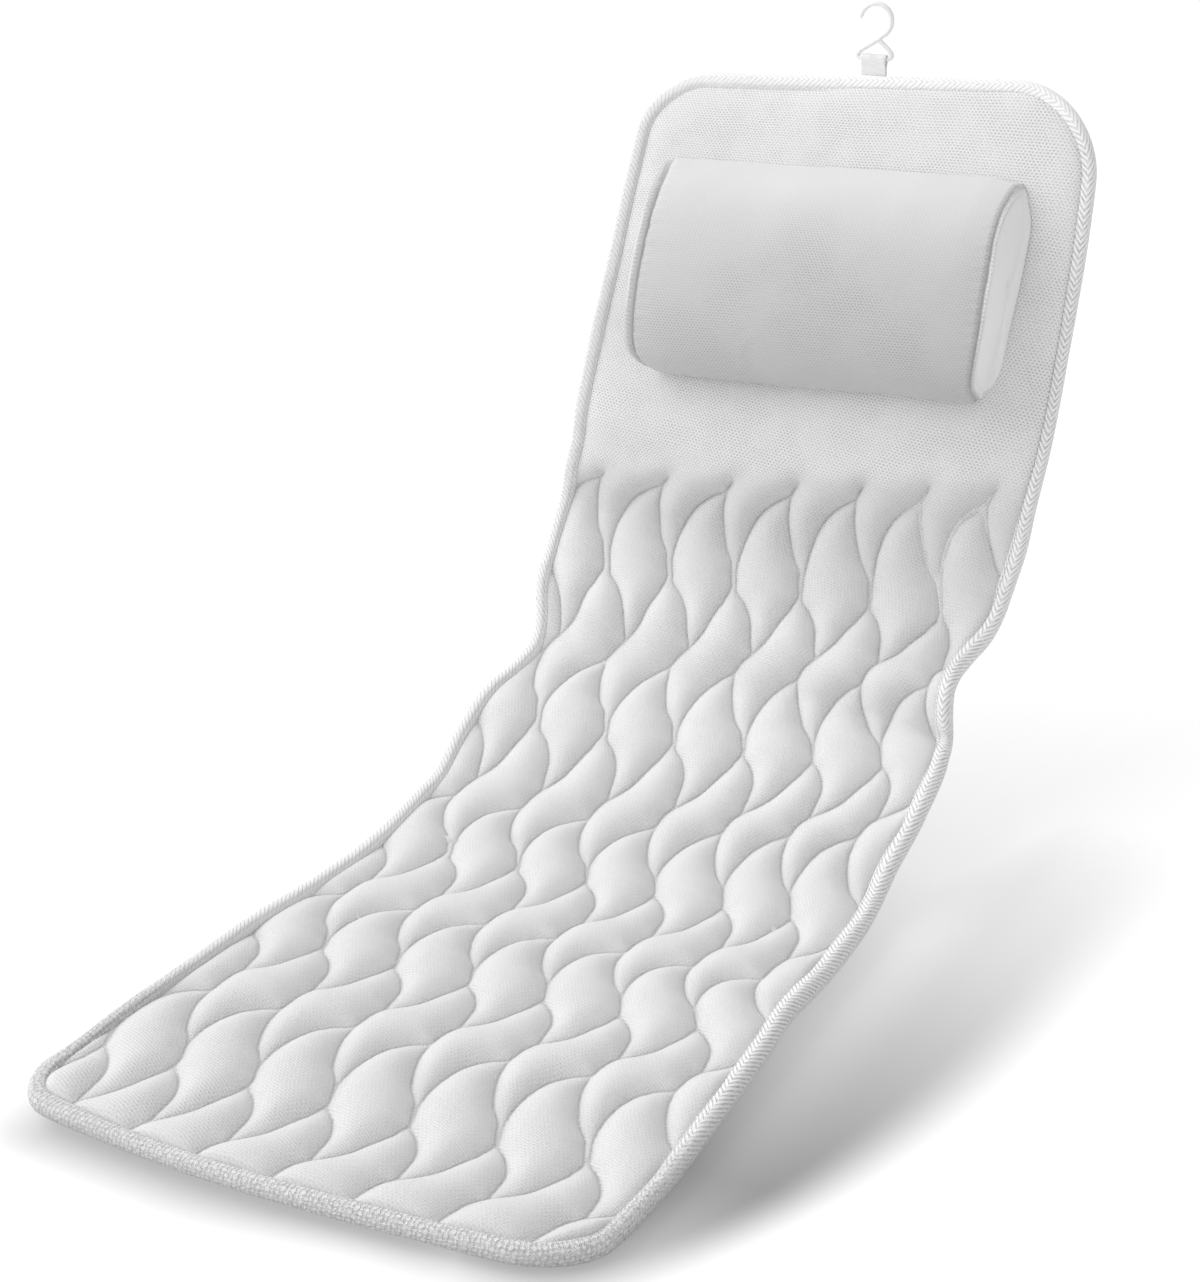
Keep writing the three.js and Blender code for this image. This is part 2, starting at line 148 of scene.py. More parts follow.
def mid(x, s):
    """The middle of the mat at x across and s along it, in mm."""
    x, s = np.broadcast_arrays(np.asarray(x, float), np.asarray(s, float))
    y, z, a, x0, tw, sk, wd = (np.interp(s, _S, q) for q in (_Y, _Z, _A, _X0, _TW, _SK, _WD))
    u = x / EDGE
    b = smooth((s - 860) / 100)
    ut = (1 - b) * u + b * u ** 3
    ca, sa = np.cos(a), np.sin(a)
    return np.stack([x0 + x + wd * u, y - sa * tw * ut + ca * sk * u, z + ca * tw * ut + sa * sk * u], -1)


def twist_at(x, s):
    u = np.asarray(x, float) / EDGE
    b = smooth((np.asarray(s, float) - 860) / 100)
    return np.interp(s, _S, _TW) * ((1 - b) * u + b * u ** 3)


def mat_frame(x, s):
    """Point, direction across, direction along and front normal of the mat."""
    p = mid(x, s)
    px = (mid(np.asarray(x) + 2.0, s) - mid(np.asarray(x) - 2.0, s)) / 4
    ps = (mid(x, np.asarray(s) + 3.0) - mid(x, np.asarray(s) - 3.0)) / 6
    return p, px, ps, unit(np.cross(px, ps))


def flat_at(s, n=0.0):
    """The flat (untwisted) CAD surface of the head panel: point, along, normal."""
    a = math.radians(70.0)
    t, nn = np.array([0, math.cos(a), math.sin(a)]), np.array([0, -math.sin(a), math.cos(a)])
    top = np.array([0, 420.904, 556.975])
    return top + np.multiply.outer(np.asarray(s, float) - CAD_LENGTH, t) + np.multiply.outer(np.asarray(n, float), nn)


def real_s(x, sp):
    """The foot edge is bowed and slants: from the plain outline's place along the mat to the real one."""
    x = np.asarray(x, float)
    low, high = smooth(1 - (sp - FOOT) / 150.0), smooth(1 - (LENGTH - sp) / 150.0)
    return sp + (FOOT_SLANT * x + FOOT_BOW * (x / EDGE) ** 2) * low + TOP_SLANT * x * high


def corner_r(x, sp):
    left = np.asarray(x) < 0
    return np.where(sp > 600, np.where(left, R_TOP, R_TOP_R), np.where(left, R_LEFT, R_RIGHT))


def inset(x, sp):
    """How far a point is inside the rounded outline."""
    r = corner_r(x, sp)
    ax, dy = np.abs(x), np.minimum(sp - FOOT, LENGTH - sp)
    corner = (ax > HALF_W - r) & (dy < r)
    return np.where(corner, r - np.hypot(ax - (HALF_W - r), r - dy), np.minimum(HALF_W - ax, dy))


# ------------------------------------------------------------------ the quilting
# Each column of leaves has a left and a right seam. They run together between two leaves.
LEAF_L = [(-7.75, 139.4), (-12.75, 135.6), (-17.75, 131.9), (-24, 125), (-27.75, 120.6), (-30.85, 114.4), (-33.35, 107.5), (-35, 98.75),
          (-35.75, 90), (-35.25, 81.25), (-34.35, 75), (-32.75, 67.5), (-29.65, 60), (-26.5, 52.5), (-25.65, 49.4), (-21.5, 45.6),
          (-15.85, 41.9), (-10.85, 36.25), (-6.5, 30), (-3.35, 22.5), (-1.85, 13.75), (-1.0, 6.25), (0, 0)]
LEAF_R = [(-7.75, 139.4), (-7.15, 131.25), (-6.5, 125), (-4.65, 118.1), (-1.5, 110), (2.85, 101.25), (7.85, 93.1), (13.5, 87.5), (18.5, 82.5),
          (20.35, 78.75), (23.5, 72.5), (26.65, 66.9), (28.75, 62.5), (28.5, 56.25), (27.5, 53.75), (26.65, 47.5), (23.5, 39.4), (21, 32.5),
          (17.85, 23.75), (14.75, 16.9), (9.75, 10), (4.75, 4.4), (0, 0)]
STEM = [(-0.85, -2.5), (-2.75, -6.25), (-4.65, -12.5), (-5.65, -18.75), (-6.25, -27.5)]
DRIFT = {"B1": ([0.04, -0.22, 0.23], [-3.14, -0.78, 1.52]), "T1": ([-2.16, -0.2, 0.11], [-2.59, 0.27, 0.48]),
         "B2": ([-3.42, 0.55, -0.2], [1.36, -1.0, 0.87]), "T2": ([6.0, -0.03, -1.07], [-6.77, -2.59, 0.11]),
         "B3": ([3.25, 0, -1.29], [-1.17, -1.17, 0.44]), "T3": ([4.85, 0.13, -1.07], [-2.38, 0.53, 0.74]),
         "B4": ([3.66, -0.02, -1.1], [-4.02, -0.18, 0.94]), "T4": ([0.75, 5.35, -0.43], [0.09, -0.17, 1.05]),
         "B5": ([9.24, 4.87, -1.47], [-1.52, 1.2, 0.74]), "T5": ([1.58, -0.47, -0.43], [0.35, 0.08, -0.01])}


def tip(kind, c, k):
    x = (9.2 if kind == "B" else 0.5) + 54.9 * c
    s = (55.7 if kind == "B" else 198.7) + 163.1 * (k - 1) + 0.214 * x
    key = kind + str(k)
    if key in DRIFT:
        q = max(-3.0, min(3.0, c))
        dx, ds = DRIFT[key]
        x += dx[0] + dx[1] * q + dx[2] * q * q
        s += ds[0] + ds[1] * q + ds[2] * q * q
    return x, s


def seam_lines():
    """x of every seam at each mm along the mat, two for each column, left to right."""
    out = []
    for c in range(-5, 6):
        for side in (LEAF_L, LEAF_R):
            pts = []
            for k in range(1, 6):
                bx, bs = tip("B", c, k)
                tx, ts = tip("T", c, k)
                ux, us = tip("T", c, k - 1)
                low = [(x - 2.15 * (y / -28.5), y * 0.772) for x, y in STEM]
                if k == 1:
                    pts.append((us - 40, ux - 2.0))
                    pts.append((us - 18, ux - 2.5))
                for x, y in sorted(low, key=lambda q: q[1]):
                    pts.append((bs + y * (bs - us) / 22.0, bx + x + (ux - bx + 8.7) * (y / -22.0)))
                for x, y in sorted(side, key=lambda q: q[1]):
                    yc = y * 141.1 / 139.4
                    xc = x - 0.95 * y / 141.0
                    pts.append((bs + yc * (ts - bs) / 141.1, bx + xc + (tx - bx + 8.7) * (yc / 141.1)))
            pts += [(pts[-1][0] + 10, pts[-1][1] + 3.2), (pts[-1][0] + 22, pts[-1][1] + 9.2), (pts[-1][0] + 60, pts[-1][1] + 18)]
            pts = sorted(pts)
            keep = [pts[0]]
            for q in pts[1:]:
                if q[0] - keep[-1][0] > 0.6:
                    keep.append(q)
            out.append(soften(pchip([q[0] for q in keep], [q[1] for q in keep], _S), 4))
    out = np.array(out)
    for _ in range(2):
        for i in range(len(out) - 1):
            bad = out[i] > out[i + 1]
            m = (out[i] + out[i + 1]) / 2
            out[i] = np.where(bad, m, out[i])
            out[i + 1] = np.where(bad, m, out[i + 1])
    return out


SEAMS = seam_lines()
SEAM_SLOPE = np.gradient(SEAMS, axis=1)
SEAM_SOFT, SEAM_POW = 1.0, 0.42


def rise(d):
    return (d * d + SEAM_SOFT ** 2) ** (SEAM_POW / 2) - SEAM_SOFT ** SEAM_POW


def seam_x(sp):
    """Where each seam crosses a row, and its slope there."""
    v = np.array([np.interp(sp, _S, q) for q in SEAMS])
    for _ in range(5):
        sv = real_s(v, sp)
        v = np.array([np.interp(sv[k], _S, q) for k, q in enumerate(SEAMS)])
    v = np.maximum.accumulate(v)
    sv = real_s(v, sp)
    return v, np.array([np.interp(sv[k], _S, q) for k, q in enumerate(SEAM_SLOPE)])


def near(x, s, lines, idx):
    """True distance from points on the mat to the seam line that each is next to."""
    k0 = np.clip(np.round(s).astype(int) + 20 - 30, 0, len(_S) - 62)
    k = k0[:, None] + np.arange(61)[None]
    ax, ay = lines[idx[:, None], k] - x[:, None], _S[k] - s[:, None]
    bx = lines[idx[:, None], k + 1] - x[:, None] - ax
    t = np.clip(-(ax * bx + ay) / (bx * bx + 1), 0, 1)
    return np.sqrt(((ax + t * bx) ** 2 + (ay + t) ** 2).min(1))


def quilt(x, sp):
    """For a row of points: height of the puff from 0 to about 1, distance to the nearest seam, and how quilted it is."""
    v, dv = seam_x(sp)
    s = real_s(x, sp)
    i = np.clip(np.searchsorted(v, x, side="right") - 1, 0, len(v) - 2)
    dl, dr = near(x, s, SEAMS, i), near(x, s, SEAMS, i + 1)
    w = np.clip(dl + dr, 8, 60)
    h = rise(dl) * rise(dr) / rise(25.0) ** 2 * (w / 50.0) ** -0.58
    fade = 1 - smooth((s - (856 + 0.24 * x)) / 22.0)
    return h, np.minimum(dl, dr), fade, s


def front_height(x, sp):
    """Height of the front cover above the middle of the mat for a row of points, and what its material needs."""
    h, d, fade, s = quilt(x, sp)
    ins = inset(x, sp)
    low = smooth(1 - (sp - FOOT) / 90.0)
    left = smooth(-x / 60)
    edge = (1 - low) * np.sqrt(1 - np.exp(-np.maximum(ins - 8.0 - 3.0 * left, 0) / (4.5 + 6.5 * left))) + low * np.sqrt(1 - np.exp(-np.maximum(ins - 8.5, 0) / 7.5))
    lump = 1 + 0.07 * vnoise(x, s, 60, 3)
    big = 10.6 * np.minimum(h, 1.15) * lump
    ripple = 0.22 * vnoise(x * 1.3, s, 9, 5) * np.exp(-d / 9.0) * np.minimum(d, 1.5) / 1.5
    quilted = 0.8 - 1.6 * low * np.exp(-np.maximum(ins - 8, 0) / 6.0) + (big + ripple) * edge
    plain = 0.8 + (9.3 + 0.7 * vnoise(x, s, 55, 8) + 0.25 * vnoise(x, s, 22, 9)) * edge
    n = plain + (quilted - plain) * fade
    return n, d, fade, s


def back_height(x, sp):
    h, d, fade, s = quilt(x, sp)
    e = np.maximum(inset(x, sp) - 10.0, 0)
    edge = np.sqrt(1 - np.exp(-e / 8.0))
    quilted = 1.5 + 7.6 * np.minimum(h, 1.1) ** 0.8 * edge
    plain = 1.5 + 8.0 * edge
    base = plain + (quilted - plain) * fade
    inner = smooth((inset(x, sp) - 12) / 40.0)
    return -(base + 0.5 * twist_at(x, s) * inner), s


# ------------------------------------------------------------------ mesh helpers
def new_object(name, verts, faces, uvs=None, attrs=None, normals=None, material=None, flat_faces=0):
    """verts in mm. uvs and normals are one per vertex. The last flat_faces faces are hidden end caps and keep their own normals."""
    me = bpy.data.meshes.new(name)
    me.from_pydata((np.asarray(verts) * MM).tolist(), [], faces)
    me.polygons.foreach_set("use_smooth", np.ones(len(me.polygons), bool))
    loops = np.zeros(len(me.loops), np.int32)
    me.loops.foreach_get("vertex_index", loops)
    if uvs is not None:
        layer = me.uv_layers.new(name="flat")
        layer.data.foreach_set("uv", (np.asarray(uvs)[loops] * MM).astype(np.float32).ravel())
    for key, values in (attrs or {}).items():
        a = me.attributes.new(key, "FLOAT", "POINT")
        a.data.foreach_set("value", np.asarray(values, np.float32))
    me.validate(clean_customdata=False)
    me.update()
    if normals is not None:
        nl = np.asarray(normals)[loops].copy()
        if flat_faces:
            pn = np.zeros(len(me.polygons) * 3, np.float32)
            me.polygons.foreach_get("normal", pn)
            pn = pn.reshape(-1, 3)
            start = np.zeros(len(me.polygons), np.int32)
            total = np.zeros(len(me.polygons), np.int32)
            me.polygons.foreach_get("loop_start", start)
            me.polygons.foreach_get("loop_total", total)
            for f in range(len(me.polygons) - flat_faces, len(me.polygons)):
                nl[start[f]:start[f] + total[f]] = pn[f]
        me.normals_split_custom_set(nl.tolist())
    o = bpy.data.objects.new(name, me)
    bpy.context.scene.collection.objects.link(o)
    if material is not None:
        me.materials.append(material)
    return o


def grid_normals(p):
    f = np.cross(p[1:, 1:] - p[:-1, :-1], p[1:, :-1] - p[:-1, 1:])
    n = np.zeros_like(p)
    n[:-1, :-1] += f
    n[1:, :-1] += f
    n[:-1, 1:] += f
    n[1:, 1:] += f
    return unit(n)


def quads(i0, rows, cols, stride, flip=False):
    """Faces of a grid of vertices that starts at index i0."""
    a = i0 + (np.arange(rows)[:, None] * stride + np.arange(cols)[None, :]).ravel()
    q = np.stack([a, a + 1, a + stride + 1, a + stride], -1)
    return (q[:, ::-1] if flip else q).tolist()


def tube(path, radius, sides=12, closed=False, name="tube", material=None, squash=None):
    """A round bar along a path of points in mm. squash gives an optional second radius."""
    p = np.asarray(path, float)
    n = len(p)
    if closed:
        t = unit(np.roll(p, -1, 0) - np.roll(p, 1, 0))
    else:
        t = unit(np.gradient(p, axis=0))
    ref = np.array([0.0, 1.0, 0.0]) if abs(t[0][1]) < 0.9 else np.array([1.0, 0.0, 0.0])
    u = np.zeros_like(p)
    u[0] = unit(ref - t[0] * (ref @ t[0]))
    for i in range(1, n):
        u[i] = unit(u[i - 1] - t[i] * (u[i - 1] @ t[i]))
    w = np.cross(t, u)
    r = np.broadcast_to(np.asarray(radius, float), (n,))
    r2 = r if squash is None else np.broadcast_to(np.asarray(squash, float), (n,))
    a = np.arange(sides) * 2 * math.pi / sides
    v = p[:, None] + u[:, None] * (np.cos(a)[None, :, None] * r[:, None, None]) + w[:, None] * (np.sin(a)[None, :, None] * r2[:, None, None])
    verts = v.reshape(-1, 3)
    faces = []
    for i in range(n if closed else n - 1):
        j = (i + 1) % n
        for k in range(sides):
            l = (k + 1) % sides
            faces.append([i * sides + k, i * sides + l, j * sides + l, j * sides + k])
    if not closed:
        faces.append(list(range(sides))[::-1])
        faces.append([(n - 1) * sides + k for k in range(sides)])
    return verts, faces


# ------------------------------------------------------------------ quilted mat, in six pieces
NX = 256
ROWS, CUT_ROW = [], [0]
_ends = [FOOT + 7.7] + CUTS[1:-1] + [LENGTH - 7.7]
for _a, _b in zip(_ends[:-1], _ends[1:]):
    _n = 2 * int(round((_b - _a) / 3.0))
    ROWS += list(np.linspace(_a, _b, _n + 1)[:-1])
    CUT_ROW.append(CUT_ROW[-1] + _n)
ROWS = np.array(ROWS + [_ends[-1]])


def row_ends(sp, e=7.5):
    """Left and right end of a row, inset from the outline by e."""
    out = []
    for side in (-1, 1):
        r = float(corner_r(side, sp))
        dy = min(sp - FOOT, LENGTH - sp)
        w = HALF_W - e if dy >= r else HALF_W - r + math.sqrt(max((r - e) ** 2 - (r - dy) ** 2, 0.0))
        out.append(side * w)
    return out


def mat_grids():
    xs = np.zeros((len(ROWS), NX + 1))
    nf, dist, plain, ss = (np.zeros_like(xs) for _ in range(4))
    for i, sp in enumerate(ROWS):
        lo, hi = row_ends(sp)
        x = np.linspace(lo, hi, NX + 1)
        dx = x[1] - x[0]
        for v in seam_x(sp)[0]:
            j = int(round((v - lo) / dx))
            if 2 < j < NX - 2:
                x[j] = v
        xs[i] = x
        n, d, fade, s = front_height(x, sp)
        nf[i], dist[i], plain[i], ss[i] = n, np.where(d < 0.15, 0.0, d) + 12 * (1 - fade), 1 - fade, s
    free = smooth((dist - 1.8) / 5.0) * smooth((np.array([inset(x, sp) for x, sp in zip(xs, ROWS)]) - 13) / 8.0)
    for _ in range(26):
        mean = (nf[2:, 1:-1] + nf[:-2, 1:-1] + nf[1:-1, 2:] + nf[1:-1, :-2]) / 4
        nf[1:-1, 1:-1] += 0.8 * free[1:-1, 1:-1] * (mean - nf[1:-1, 1:-1])
    p, px, ps, nn = mat_frame(xs, ss)
    front = p + nn * nf[..., None]
    rb, cb = ROWS[::2], NX // 2
    xb = np.zeros((len(rb), cb + 1))
    nb, sb = np.zeros_like(xb), np.zeros_like(xb)
    for i, sp in enumerate(rb):
        xb[i] = np.linspace(*row_ends(sp), cb + 1)
        nb[i], sb[i] = back_height(xb[i], sp)
    p, px, ps, nn = mat_frame(xb, sb)
    back = p + nn * nb[..., None]
    return dict(front=front, fn=grid_normals(front), xs=xs, ss=ss, dist=dist, plain=plain, nf=nf,
                back=back, bn=-grid_normals(back), xb=xb, sb=sb)


def wall(f, b, flip):
    """Closes the gap between a row of front vertices and a row of half as many back vertices."""
    out = []
    for m in range(len(b) - 1):
        for t in ([f[2 * m], f[2 * m + 1], b[m]], [f[2 * m + 1], b[m + 1], b[m]], [f[2 * m + 1], f[2 * m + 2], b[m + 1]]):
            out.append(t[::-1] if flip else t)
    return out


def mat_piece(g, k, name, material):
    r0, r1 = CUT_ROW[k], CUT_ROW[k + 1]
    b0, b1 = r0 // 2, r1 // 2
    F, B = g["front"][r0:r1 + 1], g["back"][b0:b1 + 1]
    nr, nb = r1 - r0, b1 - b0
    cf, cb = NX + 1, NX // 2 + 1
    nF = F.shape[0] * cf
    verts = np.concatenate([F.reshape(-1, 3), B.reshape(-1, 3)])
    faces = quads(0, nr, NX, cf) + quads(nF, nb, NX // 2, cb, flip=True)
    fi = lambda i, j: i * cf + j
    bi = lambda i, j: nF + i * cb + j
    caps = wall([fi(i, 0) for i in range(nr + 1)], [bi(i, 0) for i in range(nb + 1)], False)
    caps += wall([fi(i, NX) for i in range(nr + 1)], [bi(i, NX // 2) for i in range(nb + 1)], True)
    caps += wall([fi(0, j) for j in range(cf)], [bi(0, j) for j in range(cb)], True)
    caps += wall([fi(nr, j) for j in range(cf)], [bi(nb, j) for j in range(cb)], False)
    uv = np.concatenate([np.stack([g["xs"][r0:r1 + 1], g["ss"][r0:r1 + 1]], -1).reshape(-1, 2),
                         np.stack([g["xb"][b0:b1 + 1], g["sb"][b0:b1 + 1]], -1).reshape(-1, 2)])
    nrm = np.concatenate([g["fn"][r0:r1 + 1].reshape(-1, 3), g["bn"][b0:b1 + 1].reshape(-1, 3)])
    zeros = np.zeros(B.shape[0] * cb)
    attrs = {"dist": np.concatenate([g["dist"][r0:r1 + 1].ravel(), zeros + 12]),
             "plain": np.concatenate([g["plain"][r0:r1 + 1].ravel(), zeros + 0.3])}
    return new_object(name, verts, faces + caps, uv, attrs, nrm, material, len(caps))


def blend_at(o, joint, body_a, body_b):
    """Bends a piece across a fold. The bend runs along lines of equal distance along the mat."""
    s0, s1 = FOLD[joint]
    a, b = mid(0.0, s0), mid(0.0, s1)
    m = (s0 + s1) / 2
    across = mid(60.0, m) - mid(-60.0, m)
    d = b - a
    d = d - across * (d @ across) / (across @ across)
    length = np.linalg.norm(b - a)
    end = a + unit(d) * length * (unit(d) @ unit(b - a))
    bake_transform(o, body_a, body_b, start=tuple(a * MM), end=tuple(end * MM))
    return o


def covers(body, *more):
    return [f"{body}_front_cover", f"{body}_filling", f"{body}_back_cover", *more]


# ------------------------------------------------------------------ edge tape
TAPE_SIDES = 44


def tape_line(kind, s0, s1, step=1.25):
    """x, s and outward direction along the tape's middle."""
    pts = []

    def line(a, b, o):
        n = max(1, int(round(math.dist(a, b) / step)))
        for i in range(n):
            t = i / n
            pts.append((a[0] + (b[0] - a[0]) * t, a[1] + (b[1] - a[1]) * t, o[0], o[1]))

    def arc(cx, cy, r, a0, a1):
        n = int(round(abs(math.radians(a1 - a0)) * r / step))
        for i in range(n):
            a = math.radians(a0 + (a1 - a0) * i / n)
            pts.append((cx + r * math.cos(a), cy + r * math.sin(a), math.cos(a), math.sin(a)))

    if kind in ("left", "right"):
        q = -1 if kind == "left" else 1
        line((q * EDGE, s0), (q * EDGE, s1), (q, 0))
        pts.append((q * EDGE, s1, q, 0))
    elif kind == "foot":
        cl, cr = HALF_W - R_LEFT, HALF_W - R_RIGHT
        line((-EDGE, s1), (-EDGE, FOOT + R_LEFT), (-1, 0))
        arc(-cl, FOOT + R_LEFT, R_LEFT - 6, 180, 270)
        line((-cl, FOOT + 6.0), (cr, FOOT + 6.0), (0, -1))
        arc(cr, FOOT + R_RIGHT, R_RIGHT - 6, 270, 360)
        line((EDGE, FOOT + R_RIGHT), (EDGE, s1), (1, 0))
        pts.append((EDGE, s1, 1, 0))
    else:
        c = HALF_W - R_TOP
        line((-EDGE, s0), (-EDGE, LENGTH - R_TOP), (-1, 0))
        arc(-c, LENGTH - R_TOP, R_TOP - 6, 180, 90)
        cr = HALF_W - R_TOP_R
        line((-c, LENGTH - 6.0), (cr, LENGTH - 6.0), (0, 1))
        arc(cr, LENGTH - R_TOP_R, R_TOP_R - 6, 90, 0)
        line((EDGE, LENGTH - R_TOP_R), (EDGE, s0), (1, 0))
        pts.append((EDGE, s0, 1, 0))
    q = np.array(pts)
    x, sp, ox, os_ = q.T
    dx = (real_s(x + 1, sp) - real_s(x - 1, sp)) / 2
    o = unit(np.stack([ox - os_ * dx, os_], -1))
    return np.stack([x, real_s(x, sp), o[:, 0], o[:, 1]], -1)


def tape_piece(name, kind, s0, s1, material):
    q = tape_line(kind, s0, s1)
    x, s, ox, os_ = q.T
    p, px, ps, nn = mat_frame(x, s)
    out = unit(px * ox[:, None] + ps * os_[:, None])
    out = unit(out - nn * (out * nn).sum(-1, keepdims=True))
    along = np.concatenate([[0], np.cumsum(np.linalg.norm(np.diff(np.stack([x, s], -1), axis=0), axis=1))])
    if kind == "left":
        along = s
    elif kind == "right":
        along = 2.4 - s
    elif kind == "foot":
        along = s1 - along
    else:
        along = along - along[-1] + 2.4 - s0
    th = np.arange(TAPE_SIDES) * 2 * math.pi / TAPE_SIDES
    pw = 2 / 2.5
    ca, sa = np.cos(th), np.sin(th)
    ea, eb = np.sign(ca) * np.abs(ca) ** pw, np.sign(sa) * np.abs(sa) ** pw
    inner = np.interp(s, [0, 60, 160, 420, LENGTH], [0.72, 0.85, 1.0, 1.2, 1.25])
    wob = vnoise(x * 1.0 + 3 * s, s, 38, 21)
    b = np.interp(s, [0, 60, 170, 400, 900, LENGTH], [6.7, 7.0, 8.6, 8.8, 8.3, 8.2]) + 0.35 * wob
    drop = np.interp(s, [0, 60, 170], [-3.1, -2.8, 0.0])
    a = 6.0 + 0.25 * vnoise(s + 2 * x, x, 31, 22) + 2.0 * smooth((x + 120) / -50) * smooth((85 - s) / 40)
    # stitched line near the inner edge, front and back
    at = math.pi * (0.695 + 0.04 * smooth(-x / 60))[:, None]
    groove = np.exp(-((th[None] - at) / 0.11) ** 2) + np.exp(-((th[None] - 2 * math.pi + at) / 0.11) ** 2)
    shrink = 1 - 0.05 * groove
    eas = np.where(ea[None] < 0, ea[None] * inner[:, None], ea[None])
    v = (p[:, None] + out[:, None] * (a[:, None] * eas * shrink)[:, :, None]
         + nn[:, None] * (drop[:, None] + b[:, None] * eb[None] * shrink)[:, :, None])
    n = len(p)
    verts = v.reshape(-1, 3)
    flipped = float(np.cross(out[n // 2], nn[n // 2]) @ (p[min(n // 2 + 1, n - 1)] - p[n // 2 - 1])) > 0
    i, k = np.meshgrid(np.arange(n - 1), np.arange(TAPE_SIDES), indexing="ij")
    l = (k + 1) % TAPE_SIDES
    f = np.stack([i * TAPE_SIDES + k, i * TAPE_SIDES + l, (i + 1) * TAPE_SIDES + l, (i + 1) * TAPE_SIDES + k], -1).reshape(-1, 4)
    caps = [list(range(TAPE_SIDES))[::-1], [(n - 1) * TAPE_SIDES + k for k in range(TAPE_SIDES)]]
    if not flipped:
        f = f[:, ::-1]
        caps = [c[::-1] for c in caps]
    seg = np.linalg.norm(np.diff(np.stack([ea * 6, eb * 9], -1), axis=0, append=[[ea[0] * 6, eb[0] * 9]]), axis=1)
    arc = np.concatenate([[0], np.cumsum(seg)[:-1]])
    arc = np.where(th > math.pi, arc - seg.sum(), arc)
    uv = np.stack([np.repeat(along[:, None], TAPE_SIDES, 1), np.repeat(arc[None], n, 0)], -1).reshape(-1, 2)
    du = unit(np.roll(v, -1, 1) - np.roll(v, 1, 1))
    dt = unit(np.gradient(v, axis=0))
    nr = unit(np.cross(du, dt)) * (1 if flipped else -1)
    if ((nr[n // 2, 0] * out[n // 2]).sum()) < 0:
        nr = -nr
    o = new_object(name, verts, f.tolist() + caps, uv, {"stitch": groove.ravel(), "wear_and_painted_shade": np.repeat(smooth(1 - (s - 70) / 210.0), TAPE_SIDES)}, nr.reshape(-1, 3), material, 2)
    return o


# ------------------------------------------------------------------ materials
def node_material(name):
    m = bpy.data.materials.new(name)
    m.use_nodes = True
    nt = m.node_tree
    nt.nodes.clear()
    out = nt.nodes.new("ShaderNodeOutputMaterial")
    b = nt.nodes.new("ShaderNodeBsdfPrincipled")
    nt.links.new(b.outputs["BSDF"], out.inputs["Surface"])
    return m, nt, b


